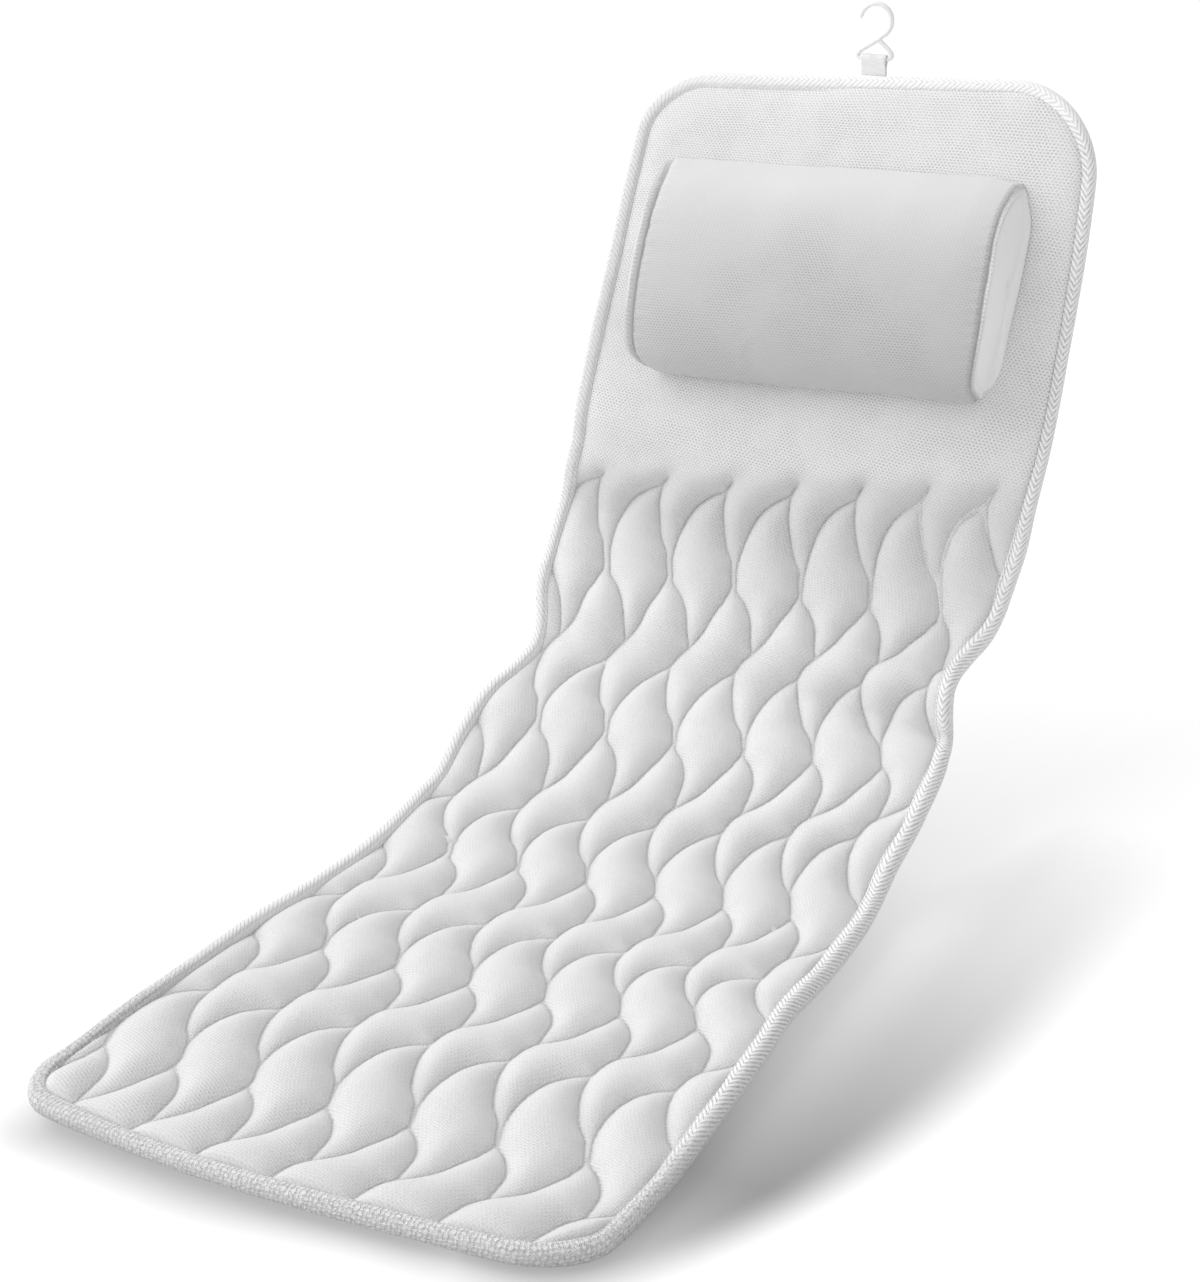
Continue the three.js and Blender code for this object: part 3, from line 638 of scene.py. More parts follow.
class Nodes:
    """Short names for building node trees."""

    def __init__(self, nt):
        self.nt = nt

    def _in(self, socket, value):
        if isinstance(value, bpy.types.NodeSocket):
            self.nt.links.new(value, socket)
        elif value is not None:
            socket.default_value = value

    def math(self, op, a, b=None, c=None, clamp=False):
        n = self.nt.nodes.new("ShaderNodeMath")
        n.operation, n.use_clamp = op, clamp
        for i, v in enumerate((a, b, c)):
            self._in(n.inputs[i], v)
        return n.outputs[0]

    def vec(self, op, a, b=None, scale=None):
        n = self.nt.nodes.new("ShaderNodeVectorMath")
        n.operation = op
        self._in(n.inputs[0], a)
        if b is not None:
            self._in(n.inputs[1], b)
        if scale is not None:
            self._in(n.inputs["Scale"], scale)
        return n.outputs["Value"] if op in ("LENGTH", "DISTANCE", "DOT_PRODUCT") else n.outputs["Vector"]

    def ramp(self, v, lo, hi, to_lo=0.0, to_hi=1.0, soft=True):
        n = self.nt.nodes.new("ShaderNodeMapRange")
        n.interpolation_type = "SMOOTHSTEP" if soft else "LINEAR"
        n.clamp = True if not soft else n.clamp
        self._in(n.inputs[0], v)
        for i, q in enumerate((lo, hi, to_lo, to_hi)):
            self._in(n.inputs[1 + i], q)
        return n.outputs[0]

    def mix(self, f, a, b, kind="MIX"):
        n = self.nt.nodes.new("ShaderNodeMix")
        n.data_type, n.blend_type = "RGBA", kind
        self._in(n.inputs[0], f)
        self._in(n.inputs[6], a if isinstance(a, bpy.types.NodeSocket) else (*a, 1.0))
        self._in(n.inputs[7], b if isinstance(b, bpy.types.NodeSocket) else (*b, 1.0))
        return n.outputs[2]

    def noise(self, vector, scale, detail=2.0, rough=0.5, dims="3D"):
        n = self.nt.nodes.new("ShaderNodeTexNoise")
        n.noise_dimensions = dims
        self._in(n.inputs["Vector"], vector)
        n.inputs["Scale"].default_value = scale
        n.inputs["Detail"].default_value = detail
        n.inputs["Roughness"].default_value = rough
        return n.outputs[0]

    def attr(self, name):
        n = self.nt.nodes.new("ShaderNodeAttribute")
        n.attribute_name = name
        return n.outputs["Fac"]

    def flat_uv(self):
        """The piece's own flat pattern, in millimetres."""
        n = self.nt.nodes.new("ShaderNodeUVMap")
        n.uv_map = "flat"
        return self.vec("MULTIPLY", n.outputs["UV"], (1000.0, 1000.0, 1000.0))

    def position(self):
        n = self.nt.nodes.new("ShaderNodeTexCoord")
        return n.outputs["Object"]

    def hex_dots(self, p, pitch):
        """Distance in mm to the nearest point of a honeycomb of holes."""
        size = (pitch, pitch * 1.45, 1.0)
        d = []
        for off in ((0.0, 0.0, 0.0), (pitch / 2, pitch * 0.725, 0.0)):
            q = self.vec("ADD", p, off)
            q = self.vec("DIVIDE", q, size)
            q = self.vec("FRACTION", q)
            q = self.vec("SUBTRACT", q, (0.5, 0.5, 0.0))
            q = self.vec("MULTIPLY", q, (size[0] * 0.78, size[1] * 1.1, 0.0))
            d.append(self.vec("LENGTH", q))
        return self.math("MINIMUM", d[0], d[1])

    def bump(self, height, distance, strength=1.0, normal=None):
        n = self.nt.nodes.new("ShaderNodeBump")
        n.inputs["Strength"].default_value = strength
        n.inputs["Distance"].default_value = distance
        self._in(n.inputs["Height"], height)
        if normal is not None:
            self._in(n.inputs["Normal"], normal)
        return n.outputs[0]


def make_air_mesh():
    m, nt, b = node_material("air_mesh")
    n = Nodes(nt)
    p = n.flat_uv()
    wob = n.nt.nodes.new("ShaderNodeTexNoise")
    n._in(wob.inputs["Vector"], p)
    wob.inputs["Scale"].default_value, wob.inputs["Detail"].default_value = 0.035, 1.0
    p2 = n.vec("ADD", p, n.vec("SCALE", n.vec("SUBTRACT", wob.outputs["Color"], (0.5, 0.5, 0.5)), scale=2.5))
    plain, dist = n.attr("plain"), n.attr("dist")
    patch = n.ramp(n.noise(p, 0.03, 2.0), 0.42, 0.62)
    # punched holes of the air mesh, strong on the plain head and faint on the quilting
    hole = n.ramp(n.hex_dots(p2, 3.05), 0.15, 1.10, 1.0, 0.0)
    strength = n.math("ADD", n.math("MULTIPLY", plain, 0.40), n.math("ADD", 0.12, n.math("MULTIPLY", patch, 0.22)))
    along = nt.nodes.new("ShaderNodeSeparateXYZ")
    nt.links.new(p, along.inputs[0])
    strength = n.math("ADD", strength, n.ramp(along.outputs[1], 600.0, 850.0, 0.0, 0.16))
    holes = n.math("MULTIPLY", hole, strength)
    # fine knit: short ribs across the cloth, broken up along it
    sep = nt.nodes.new("ShaderNodeSeparateXYZ")
    nt.links.new(p2, sep.inputs[0])
    row = n.math("SINE", n.math("MULTIPLY", n.math("ADD", n.math("MULTIPLY", sep.outputs[1], 0.96), n.math("MULTIPLY", sep.outputs[0], 0.28)), 2 * math.pi / 1.9))
    col = n.math("SINE", n.math("MULTIPLY", n.math("SUBTRACT", n.math("MULTIPLY", sep.outputs[0], 0.96), n.math("MULTIPLY", sep.outputs[1], 0.28)), 2 * math.pi / 1.6))
    knit = n.ramp(n.math("ADD", row, n.math("MULTIPLY", col, 0.45)), -1.3, 1.3, 0, 1)
    line = n.ramp(dist, 0.15, 1.15, 1.0, 0.0)
    white = n.mix(plain, (0.735, 0.735, 0.735), (0.845, 0.845, 0.845))
    base = n.mix(n.math("MULTIPLY", holes, 0.72), white, (0.33, 0.33, 0.335))
    base = n.mix(n.math("MULTIPLY", n.math("SUBTRACT", 1.0, knit), n.math("SUBTRACT", 0.26, n.math("MULTIPLY", plain, 0.19))), base, (0.52, 0.52, 0.525))
    # seam line: partly the stitched thread, partly painted shade in the seam's crease
    base = n.mix(n.math("MULTIPLY", line, 0.34), base, (0.42, 0.42, 0.425))
    base = n.mix(n.ramp(n.noise(p, 0.02, 3.0), 0.35, 0.75, 0.0, 0.08), base, (0.66, 0.66, 0.665))
    base = n.mix(n.ramp(n.noise(p, 0.7, 2.0), 0.35, 0.70, 0.0, 0.22), base, (0.50, 0.50, 0.505))
    nt.links.new(base, b.inputs["Base Color"])
    b.inputs["Roughness"].default_value = 0.85
    b.inputs["Sheen Weight"].default_value = 0.2
    b.inputs["Sheen Roughness"].default_value = 0.5
    b.inputs["Specular IOR Level"].default_value = 0.2
    h = n.math("SUBTRACT", n.math("MULTIPLY", knit, n.math("SUBTRACT", 0.8, n.math("MULTIPLY", plain, 0.5))), n.math("MULTIPLY", holes, 1.3))
    fine = n.bump(h, 0.00040, 0.75)
    groove = n.bump(n.ramp(dist, 0.0, 1.5, 0.0, 1.0), 0.0009, 0.7, fine)
    nt.links.new(groove, b.inputs["Normal"])
    return m


def make_tape():
    m, nt, b = node_material("edge_tape")
    n = Nodes(nt)
    p = n.flat_uv()
    sep = nt.nodes.new("ShaderNodeSeparateXYZ")
    nt.links.new(p, sep.inputs[0])
    t, v = sep.outputs[0], sep.outputs[1]
    wob = n.math("MULTIPLY", n.math("SUBTRACT", n.noise(p, 0.12, 2.0), 0.5), 2.6)
    tri = n.math("PINGPONG", v, 11.5)
    wear_and_painted_shade = n.attr("wear_and_painted_shade")
    phase = n.math("MULTIPLY", n.math("SUBTRACT", n.math("ADD", t, wob), n.math("MULTIPLY", tri, 1.40)), 2 * math.pi / 4.8)
    wave = n.ramp(n.math("SINE", phase), -1.0, 0.1, 0.0, 1.0)
    thread = n.ramp(n.math("SINE", n.math("MULTIPLY", n.math("ADD", t, n.math("MULTIPLY", tri, 0.9)), 2 * math.pi / 1.4)), -1, 1, 0, 1, False)
    blotch = n.ramp(n.noise(p, 0.22, 3.0), 0.35, 0.65, 0.30, 1.0)
    # at the foot the tape is rubbed into an uneven braid
    rough = n.math("MULTIPLY", n.math("SUBTRACT", n.noise(p, 0.25, 3.0), 0.5), 4.0)
    one = n.math("SINE", n.math("MULTIPLY", n.math("ADD", n.math("ADD", t, rough), n.math("MULTIPLY", v, 0.95)), 2 * math.pi / 6.0))
    two = n.math("SINE", n.math("MULTIPLY", n.math("SUBTRACT", n.math("SUBTRACT", t, rough), n.math("MULTIPLY", v, 0.80)), 2 * math.pi / 6.8))
    knob = n.ramp(n.math("ADD", n.math("MULTIPLY", one, two), n.math("MULTIPLY", n.math("ADD", one, two), 0.35)), -0.55, 0.35, 0.0, 1.0)
    face = n.mix(n.math("MULTIPLY", wear_and_painted_shade, 0.9), wave, knob)
    where = nt.nodes.new("ShaderNodeSeparateXYZ")
    nt.links.new(n.position(), where.inputs[0])
    # painted light: the weave, its relief and the stitch line are drawn fainter on the left side and along the top
    # edge, where the light washes them out; at the foot they keep full strength
    weave_strength_painted_light = n.math("MAXIMUM", n.ramp(where.outputs[0], -0.19, 0.02, 0.42, 1.0), n.math("MULTIPLY", wear_and_painted_shade, 0.9))
    weave_strength_painted_light = n.math("MULTIPLY", weave_strength_painted_light, n.ramp(where.outputs[2], 0.515, 0.550, 1.0, 0.42))
    # painted shade: the weave is drawn darker on the tape's underside
    side = n.ramp(v, -2.0, 3.5, 1.0, 0.0)
    # the dark weave, drawn darker at the foot: partly rubbed wear, partly painted shade
    dark = n.math("MULTIPLY", n.math("MULTIPLY", n.math("SUBTRACT", 1.0, face), blotch), weave_strength_painted_light)
    # painted light: the tape's pale colour is lighter on the right side than on the left
    base = n.mix(n.math("MULTIPLY", dark, n.math("ADD", n.math("ADD", 0.54, n.math("MULTIPLY", wear_and_painted_shade, 0.14)), n.math("MULTIPLY", side, 0.15))), n.mix(n.ramp(where.outputs[0], -0.19, 0.02), (0.88, 0.88, 0.88), (0.98, 0.98, 0.98)), (0.34, 0.34, 0.345))
    base = n.mix(n.math("MULTIPLY", n.math("SUBTRACT", 1.0, thread), 0.10), base, (0.5, 0.5, 0.5))
    prick = n.ramp(n.math("SINE", n.math("MULTIPLY", t, 2 * math.pi / 3.2)), -0.6, 0.4, 0.45, 1.0)
    base = n.mix(n.math("MULTIPLY", n.math("MULTIPLY", n.attr("stitch"), prick), n.math("MULTIPLY", n.math("POWER", weave_strength_painted_light, 1.5), 0.74)), base, (0.28, 0.28, 0.285))
    base = n.mix(n.math("MULTIPLY", wear_and_painted_shade, n.ramp(n.noise(p, 0.5, 2.0), 0.35, 0.65, 0.08, 0.34)), base, (0.40, 0.40, 0.40))
    # painted shade: at the foot, the tape's underside is drawn darker
    base = n.mix(n.math("MULTIPLY", wear_and_painted_shade, n.ramp(v, -9.0, 7.0, 0.48, 0.14)), base, (0.36, 0.36, 0.36))
    nt.links.new(base, b.inputs["Base Color"])
    b.inputs["Roughness"].default_value = 0.75
    b.inputs["Sheen Weight"].default_value = 0.2
    b.inputs["Specular IOR Level"].default_value = 0.25
    h = n.math("MULTIPLY", n.math("ADD", face, n.math("MULTIPLY", thread, 0.30)), n.math("ADD", 0.15, n.math("MULTIPLY", weave_strength_painted_light, 0.85)))
    nt.links.new(n.bump(h, 0.0010, 0.8), b.inputs["Normal"])
    return m


def make_headrest_mesh():
    m, nt, b = node_material("headrest_mesh")
    n = Nodes(nt)
    p = n.flat_uv()
    gusset, seam = n.attr("gusset"), n.attr("seam")
    sep = nt.nodes.new("ShaderNodeSeparateXYZ")
    nt.links.new(p, sep.inputs[0])
    x, arc = sep.outputs[0], sep.outputs[1]
    hole = n.ramp(n.hex_dots(p, 2.9), 0.20, 1.05, 1.0, 0.0)
    zone = n.math("MULTIPLY", n.ramp(n.noise(p, 0.011, 2.0), 0.40, 0.60, 0.45, 1.0), n.ramp(arc, 205.0, 130.0, 0.12, 1.0))
    holes = n.math("MULTIPLY", n.math("MULTIPLY", hole, zone), n.math("SUBTRACT", 1.0, gusset))
    diag = n.math("SINE", n.math("MULTIPLY", n.math("ADD", n.math("MULTIPLY", x, 0.85), n.math("MULTIPLY", arc, 0.5)), 2 * math.pi / 1.5))
    stitch = n.math("MULTIPLY", n.ramp(n.math("SINE", n.math("MULTIPLY", n.attr("round"), 2 * math.pi / 3.6)), -0.3, 0.6, 0.0, 1.0), n.ramp(n.math("ABSOLUTE", n.math("SUBTRACT", seam, 2.6)), 1.5, 0.4, 0.0, 1.0))
    line = n.ramp(seam, 0.2, 1.7, 1.0, 0.0)
    # painted light: the cloth is drawn lighter towards the top of the bolster and on its left side, and the left gusset
    # darker than the right
    cloth = n.mix(n.ramp(arc, 110.0, 215.0), (0.545, 0.545, 0.548), (0.660, 0.660, 0.662))
    cloth = n.mix(n.ramp(x, -150.0, 10.0, 0.35, 0.0), cloth, (0.70, 0.70, 0.702))
    cloth = n.mix(gusset, cloth, n.mix(n.ramp(x, -200.0, 0.0), (0.60, 0.60, 0.602), (0.81, 0.81, 0.812)))
    base = n.mix(n.math("MULTIPLY", holes, 0.60), cloth, (0.27, 0.27, 0.275))
    base = n.mix(n.math("MULTIPLY", n.ramp(diag, -1, 1, 0, 1, False), 0.06), base, (0.5, 0.5, 0.5))
    # seam line: partly the sewn seam, partly painted shade in its crease, drawn deeper on the left
    base = n.mix(n.math("MULTIPLY", line, n.ramp(x, -140.0, 0.0, 0.55, 0.20)), base, (0.30, 0.30, 0.305))
    base = n.mix(n.math("MULTIPLY", stitch, 0.34), base, (0.40, 0.40, 0.405))
    nt.links.new(base, b.inputs["Base Color"])
    b.inputs["Roughness"].default_value = 0.85
    b.inputs["Sheen Weight"].default_value = 0.2
    b.inputs["Sheen Roughness"].default_value = 0.5
    b.inputs["Specular IOR Level"].default_value = 0.2
    h = n.math("SUBTRACT", n.math("MULTIPLY", diag, 0.10), n.math("MULTIPLY", holes, 0.9))
    fine = n.bump(h, 0.00035, 0.6)
    pucker = n.math("SUBTRACT", n.ramp(seam, 0.0, 2.2, 0.0, 1.0), n.math("MULTIPLY", stitch, 0.45))
    nt.links.new(n.bump(pucker, 0.0010, 0.7, fine), b.inputs["Normal"])
    return m


def make_webbing():
    m, nt, b = node_material("webbing")
    n = Nodes(nt)
    p = n.vec("MULTIPLY", n.position(), (1000.0, 1000.0, 1000.0))
    sep = nt.nodes.new("ShaderNodeSeparateXYZ")
    nt.links.new(p, sep.inputs[0])
    rib = n.math("SINE", n.math("MULTIPLY", sep.outputs[0], 2 * math.pi / 1.5))
    pick = n.math("SINE", n.math("MULTIPLY", n.math("ADD", sep.outputs[2], n.math("MULTIPLY", sep.outputs[1], 0.7)), 2 * math.pi / 1.1))
    w = n.ramp(n.math("MULTIPLY", rib, pick), -1, 1, 0, 1, False)
    base = n.mix(n.math("MULTIPLY", n.math("SUBTRACT", 1.0, w), 0.28), (0.90, 0.90, 0.90), (0.6, 0.6, 0.605))
    nt.links.new(base, b.inputs["Base Color"])
    b.inputs["Roughness"].default_value = 0.8
    b.inputs["Specular IOR Level"].default_value = 0.2
    nt.links.new(n.bump(w, 0.0003, 0.7), b.inputs["Normal"])
    return m


def make_plastic():
    m, nt, b = node_material("hook_plastic")
    n = Nodes(nt)
    q = n.position()
    nt.links.new(n.mix(n.ramp(n.noise(q, 60.0, 3.0), 0.3, 0.7), (0.80, 0.80, 0.80), (0.84, 0.84, 0.84)), b.inputs["Base Color"])
    nt.links.new(n.ramp(n.noise(q, 140.0, 2.0), 0.3, 0.7, 0.28, 0.36), b.inputs["Roughness"])
    b.inputs["Specular IOR Level"].default_value = 0.45
    nt.links.new(n.bump(n.noise(q, 400.0, 2.0), 0.00004, 0.5), b.inputs["Normal"])
    return m


def make_vinyl():
    m, nt, b = node_material("clear_vinyl")
    n = Nodes(nt)
    q = n.position()
    nt.links.new(n.mix(n.ramp(n.noise(q, 25.0, 2.0), 0.3, 0.7), (0.86, 0.87, 0.88), (0.92, 0.93, 0.94)), b.inputs["Base Color"])
    nt.links.new(n.ramp(n.noise(q, 90.0, 2.0), 0.3, 0.7, 0.10, 0.20), b.inputs["Roughness"])
    b.inputs["Transmission Weight"].default_value = 0.75
    b.inputs["IOR"].default_value = 1.45
    nt.links.new(n.bump(n.noise(q, 120.0, 2.0), 0.0001, 0.4), b.inputs["Normal"])
    return m


MESH_MAT, TAPE_MAT, REST_MAT = make_air_mesh(), make_tape(), make_headrest_mesh()
WEB_MAT, PLASTIC_MAT, VINYL_MAT = make_webbing(), make_plastic(), make_vinyl()

# ------------------------------------------------------------------ make the mat
grids = mat_grids()
quilt_foot = mat_piece(grids, 0, "mat_foot", MESH_MAT)
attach(quilt_foot, "foot")
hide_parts(*covers("foot"))
PLAN = [("mat_leg", 1, "foot", "foot", "leg", ["leg"]), ("mat_seat", 2, "leg", "leg", "seat", ["seat"]),
        ("mat_back", 3, "back", "seat", "back", ["back"]), ("mat_neck", 4, "head", "back", "head", [])]
mat_pieces = [quilt_foot]
for name, k, joint, a, b, gone in PLAN:
    o = mat_piece(grids, k, name, MESH_MAT)
    blend_at(o, joint, a, b)
    for g in gone:
        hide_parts(*covers(g))
    mat_pieces.append(o)
quilt_head = mat_piece(grids, 5, "mat_head", MESH_MAT)
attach(quilt_head, "head")
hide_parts(*covers("head"))
mat_pieces.append(quilt_head)

tape_foot = tape_piece("tape_foot", "foot", 0, 150.0, TAPE_MAT)
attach(tape_foot, "foot")
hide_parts("foot_edge_tape")
tape_head = tape_piece("tape_head", "head", 1010.0, 0, TAPE_MAT)
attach(tape_head, "head")
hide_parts("head_edge_tape")
tapes = [tape_foot, tape_head]
for side in ("left", "right"):
    for name, k, joint, a, b, gone in PLAN:
        o = tape_piece(f"tape_{side}_{name[4:]}", side, CUTS[k], CUTS[k + 1], TAPE_MAT)
        blend_at(o, joint, a, b)
        for g in gone:
            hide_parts(f"{g}_{side}_edge_tape")
        tapes.append(o)

# ------------------------------------------------------------------ headrest: a sewn bolster, inflated by a cloth simulation
REST_PROFILE = [(0, 0), (-2, 10), (0, 24), (7, 41), (21, 52), (43, 59.5), (67, 62), (92, 59), (118, 50.5), (140, 37.5), (157, 22), (168, 9), (171, 0)]


def even_curve(points, step):
    p = np.asarray(points, float)
    t = np.concatenate([[0], np.cumsum(np.linalg.norm(np.diff(p, axis=0), axis=1))])
    n = max(2, int(round(t[-1] / step)))
    q = np.linspace(0, t[-1], n + 1)
    return np.stack([pchip(t, p[:, 0], q), pchip(t, p[:, 1], q)], -1)


def rest_place(x, v, h):
    """From the headrest's own numbers to the scene: x across, v up along the mat, h off the mat's cover."""
    x, v, h = (np.asarray(q, float) for q in (x, v, h))
    low = np.interp(x, [-157, -117, 7, 98, 146, 162], [934.5, 936.5, 942.5, 947.5, 950.0, 952.0])
    high = np.interp(x, [-157, -87, 36, 126, 162], [1116.5, 1118.0, 1123.0, 1126.0, 1123.0])
    s = low + v / 171.0 * (high - low)
    x0 = np.interp(s, _S, _X0)
    q, px, ps, nn = mat_frame(x - x0, s)
    q = q + nn * 9.4
    f, nrm = flat_at(s), flat_at(0.0, 1.0) - flat_at(0.0, 0.0)
    base = ((q - f) * nrm).sum(-1)
    n = base + h * (1 + (10.8 - base) / 64.0)
    out = flat_at(s, 0.0) + n[..., None] * nrm
    out[..., 0] = x
    return out


def make_headrest():
    prof = even_curve(REST_PROFILE, 4.2)
    npf = len(prof)
    nb = 34
    base = np.stack([np.linspace(prof[-1, 0], prof[0, 0], nb + 1)[1:-1], np.zeros(nb - 1)], -1)
    ring = np.concatenate([prof, base])
    nr = len(ring)
    seg = np.linalg.norm(np.diff(ring, axis=0, append=ring[:1]), axis=1)
    arc = np.concatenate([[0], np.cumsum(seg)[:-1]])
    # x of the left and right seam round the profile, from the photo
    total = arc[-1] + 5
    left = pchip([0, 8, 16, 25, 37, 49, 62, 90, 133, 163, 200, 226, 245, 256, 265, 300, total - 60, total],
                 [-125, -122, -126, -130.5, -135, -138, -138.5, -138.5, -139.5, -141.5, -145.5, -149, -152.5, -154, -153, -150, -140, -128], arc)
    right = pchip([0, 8, 18, 37, 49, 62, 90, 133, 163, 200, 226, 245, 256, 265, 300, total - 60, total - 24, total - 10, total],
                  [143, 147, 149.0, 149.5, 151.0, 153.0, 155.5, 154.0, 150.5, 148, 149, 155, 159, 161, 160.5, 158, 156.5, 153.0, 143], arc)
    grid = np.concatenate([[0], np.linspace(0.0125, 0.9875, 64), [1]])
    verts, uv, seam, gus, rnd, pin = [], [], [], [], [], []
    for t in grid:
        for k, (v, h) in enumerate(ring):
            x = left[k] + t * (right[k] - left[k])
            e = min(x - left[k], right[k] - x)
            pull = 1 - (0.030 * math.exp(-e / 16.0) if t < 0.5 else 0.065 * math.exp(-e / 30.0))
            verts.append((x, 80 + (v - 80) * (1 - 0.012 * math.exp(-e / 16.0)), h * pull))
            uv.append((x, arc[k]))
            seam.append(e)
            gus.append(0.0)
            rnd.append(arc[k])
            pin.append(1.0 if h < 1.0 else (0.6 if h < 7 else 0.0))
    xs = grid
    cols = len(xs)
    faces = []
    for c in range(cols - 1):
        for k in range(nr):
            l = (k + 1) % nr
            faces.append([c * nr + k, c * nr + l, (c + 1) * nr + l, (c + 1) * nr + k])
    centre = np.array([80.0, 24.0])
    for side, c in ((-1, 0), (1, cols - 1)):
        prev = [c * nr + k for k in range(nr)]
        for f in (0.93, 0.82, 0.68, 0.52, 0.35, 0.18):
            cur = []
            for k, (v, h) in enumerate(ring):
                q = centre + (np.array([v, h]) - centre) * f
                cur.append(len(verts))
                end = (left if side < 0 else right)[k]
                verts.append((end * f + (1 - f) * side * (147 if side < 0 else 156) + side * 4.5 * (1 - f ** 3) ** 0.5, q[0], q[1]))
                uv.append((side * 400 + q[0], q[1]))
                seam.append(float(np.linalg.norm(np.array([v, h]) - q)))
                gus.append(1.0)
                rnd.append(arc[k])
                pin.append(1.0 if q[1] < 1.5 and h < 1.0 else 0.0)
            for k in range(nr):
                l = (k + 1) % nr
                f4 = [prev[k], prev[l], cur[l], cur[k]]
                faces.append(f4 if side > 0 else f4[::-1])
            prev = cur
        mid_i = len(verts)
        verts.append((side * (151.5 if side < 0 else 160.5), centre[0], centre[1]))
        uv.append((side * 400 + centre[0], centre[1]))
        seam.append(30.0)
        gus.append(1.0)
        rnd.append(0.0)
        pin.append(0.0)
        for k in range(nr):
            l = (k + 1) % nr
            t = [prev[k], prev[l], mid_i]
            faces.append(t if side > 0 else t[::-1])
    rest = np.array(verts)
    # the bolster is simulated lying in its own numbers: x, v, h in mm
    o = new_object("headrest", rest, faces, uv, {"seam": seam, "gusset": gus, "round": rnd}, None, REST_MAT)
    bm_flip = o.data
    n0 = np.zeros(len(bm_flip.polygons) * 3, np.float32)
    bm_flip.polygons.foreach_get("normal", n0)
    c0 = np.zeros(len(bm_flip.polygons) * 3, np.float32)
    bm_flip.polygons.foreach_get("center", c0)
    if (n0.reshape(-1, 3) * (c0.reshape(-1, 3) - np.array([0, 0.08, 0.025]))).sum() < 0:
        bm_flip.flip_normals()
    g = o.vertex_groups.new(name="pin")
    for i, w in enumerate(pin):
        if w > 0:
            g.add([i], w, "REPLACE")
    cl = o.modifiers.new("cloth", "CLOTH")
    st = cl.settings
    st.quality, st.mass, st.air_damping = 6, 0.25, 4.0
    st.tension_stiffness = st.compression_stiffness = 25.0
    st.shear_stiffness, st.bending_stiffness = 12.0, 2.0
    st.use_pressure, st.uniform_pressure_force = True, 4.0
    st.vertex_group_mass = "pin"
    st.pin_stiffness = 1.0
    st.effector_weights.gravity = 0.0
    cl.collision_settings.use_collision = False
    sc = bpy.context.scene
    cl.point_cache.frame_start, cl.point_cache.frame_end = 1, 24
    for f in range(1, 21):
        sc.frame_set(f)
    dg = bpy.context.evaluated_depsgraph_get()
    ev = o.evaluated_get(dg)
    co = np.zeros(len(rest) * 3, np.float32)
    ev.to_mesh().vertices.foreach_get("co", co)
    ev.to_mesh_clear()
    o.modifiers.remove(cl)
    sc.frame_set(1)
    got = co.reshape(-1, 3) * 1000
    move = got - rest
    length = np.linalg.norm(move, axis=1, keepdims=True)
    print("headrest: simulated move mean", float(length.mean()), "max", float(length.max()))
    move *= np.minimum(1, 6.0 / np.maximum(length, 1e-6))
    got = rest + move
    got[:, 2] = np.maximum(got[:, 2], np.minimum(rest[:, 2], 0))
    # seams: the cover is drawn in along both ends, with the seam allowance standing up behind it
    sd, gu, ro = np.array(seam), np.array(gus), np.array(rnd)
    o.vertex_groups.clear()
    o.data.vertices.foreach_set("co", (got * MM).astype(np.float32).ravel())
    o.data.update()
    sub = o.modifiers.new("sub", "SUBSURF")
    sub.levels = sub.render_levels = 1
    dg = bpy.context.evaluated_depsgraph_get()
    me = bpy.data.meshes.new_from_object(o.evaluated_get(dg))
    o.modifiers.remove(sub)
    old = o.data
    o.data = me
    bpy.data.meshes.remove(old)
    n = len(me.vertices)
    co = np.zeros(n * 3, np.float32)
    me.vertices.foreach_get("co", co)
    co = co.reshape(-1, 3) * 1000
    nor = np.zeros(n * 3, np.float32)
    me.vertex_normals.foreach_get("vector", nor)
    nor = nor.reshape(-1, 3)
    read = lambda k: np.array([d.value for d in me.attributes[k].data])
    sd, gu, ro = read("seam"), read("gusset"), read("round")
    up = smooth((co[:, 2] - 2) / 6)
    groove = -1.6 * np.exp(-(sd / 1.8) ** 2)
    ridge = np.where(co[:, 0] < 0, 5.0 * np.exp(-((sd - 5.0) / 3.4) ** 2), 1.2 * np.exp(-((sd - 4.6) / 2.4) ** 2)) * smooth(gu)
    wave = (0.45 * np.sin(ro * 2 * math.pi / 8.6 + 1.3 * vnoise(ro, sd, 30, 33)) * np.exp(-((sd - 5.5) / 5.0) ** 2)
            + 0.5 * vnoise(ro * 2.2, sd * 0.4, 22, 34) * np.exp(-sd / 16.0)) * (1 - smooth(gu))
    lump = 0.8 * vnoise(co[:, 0], ro, 62, 31) * smooth(sd / 20) + 0.25 * vnoise(co[:, 0], ro, 24, 35) * smooth(sd / 12)
    co = co + nor * ((groove + ridge + wave + lump) * up)[:, None]
    world_co = rest_place(co[:, 0], co[:, 1], co[:, 2])
    me.vertices.foreach_set("co", (world_co * MM).astype(np.float32).ravel())
    me.polygons.foreach_set("use_smooth", np.ones(len(me.polygons), bool))
    me.update()
    return o


headrest = make_headrest()
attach(headrest, "head")
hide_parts("headrest_front_cover", "headrest_left_gusset", "headrest_right_gusset", "headrest_back_cover", "headrest_foam")

# ------------------------------------------------------------------ hanging hook and loop
BAR = np.array([6.5, 420.904, 572.575])


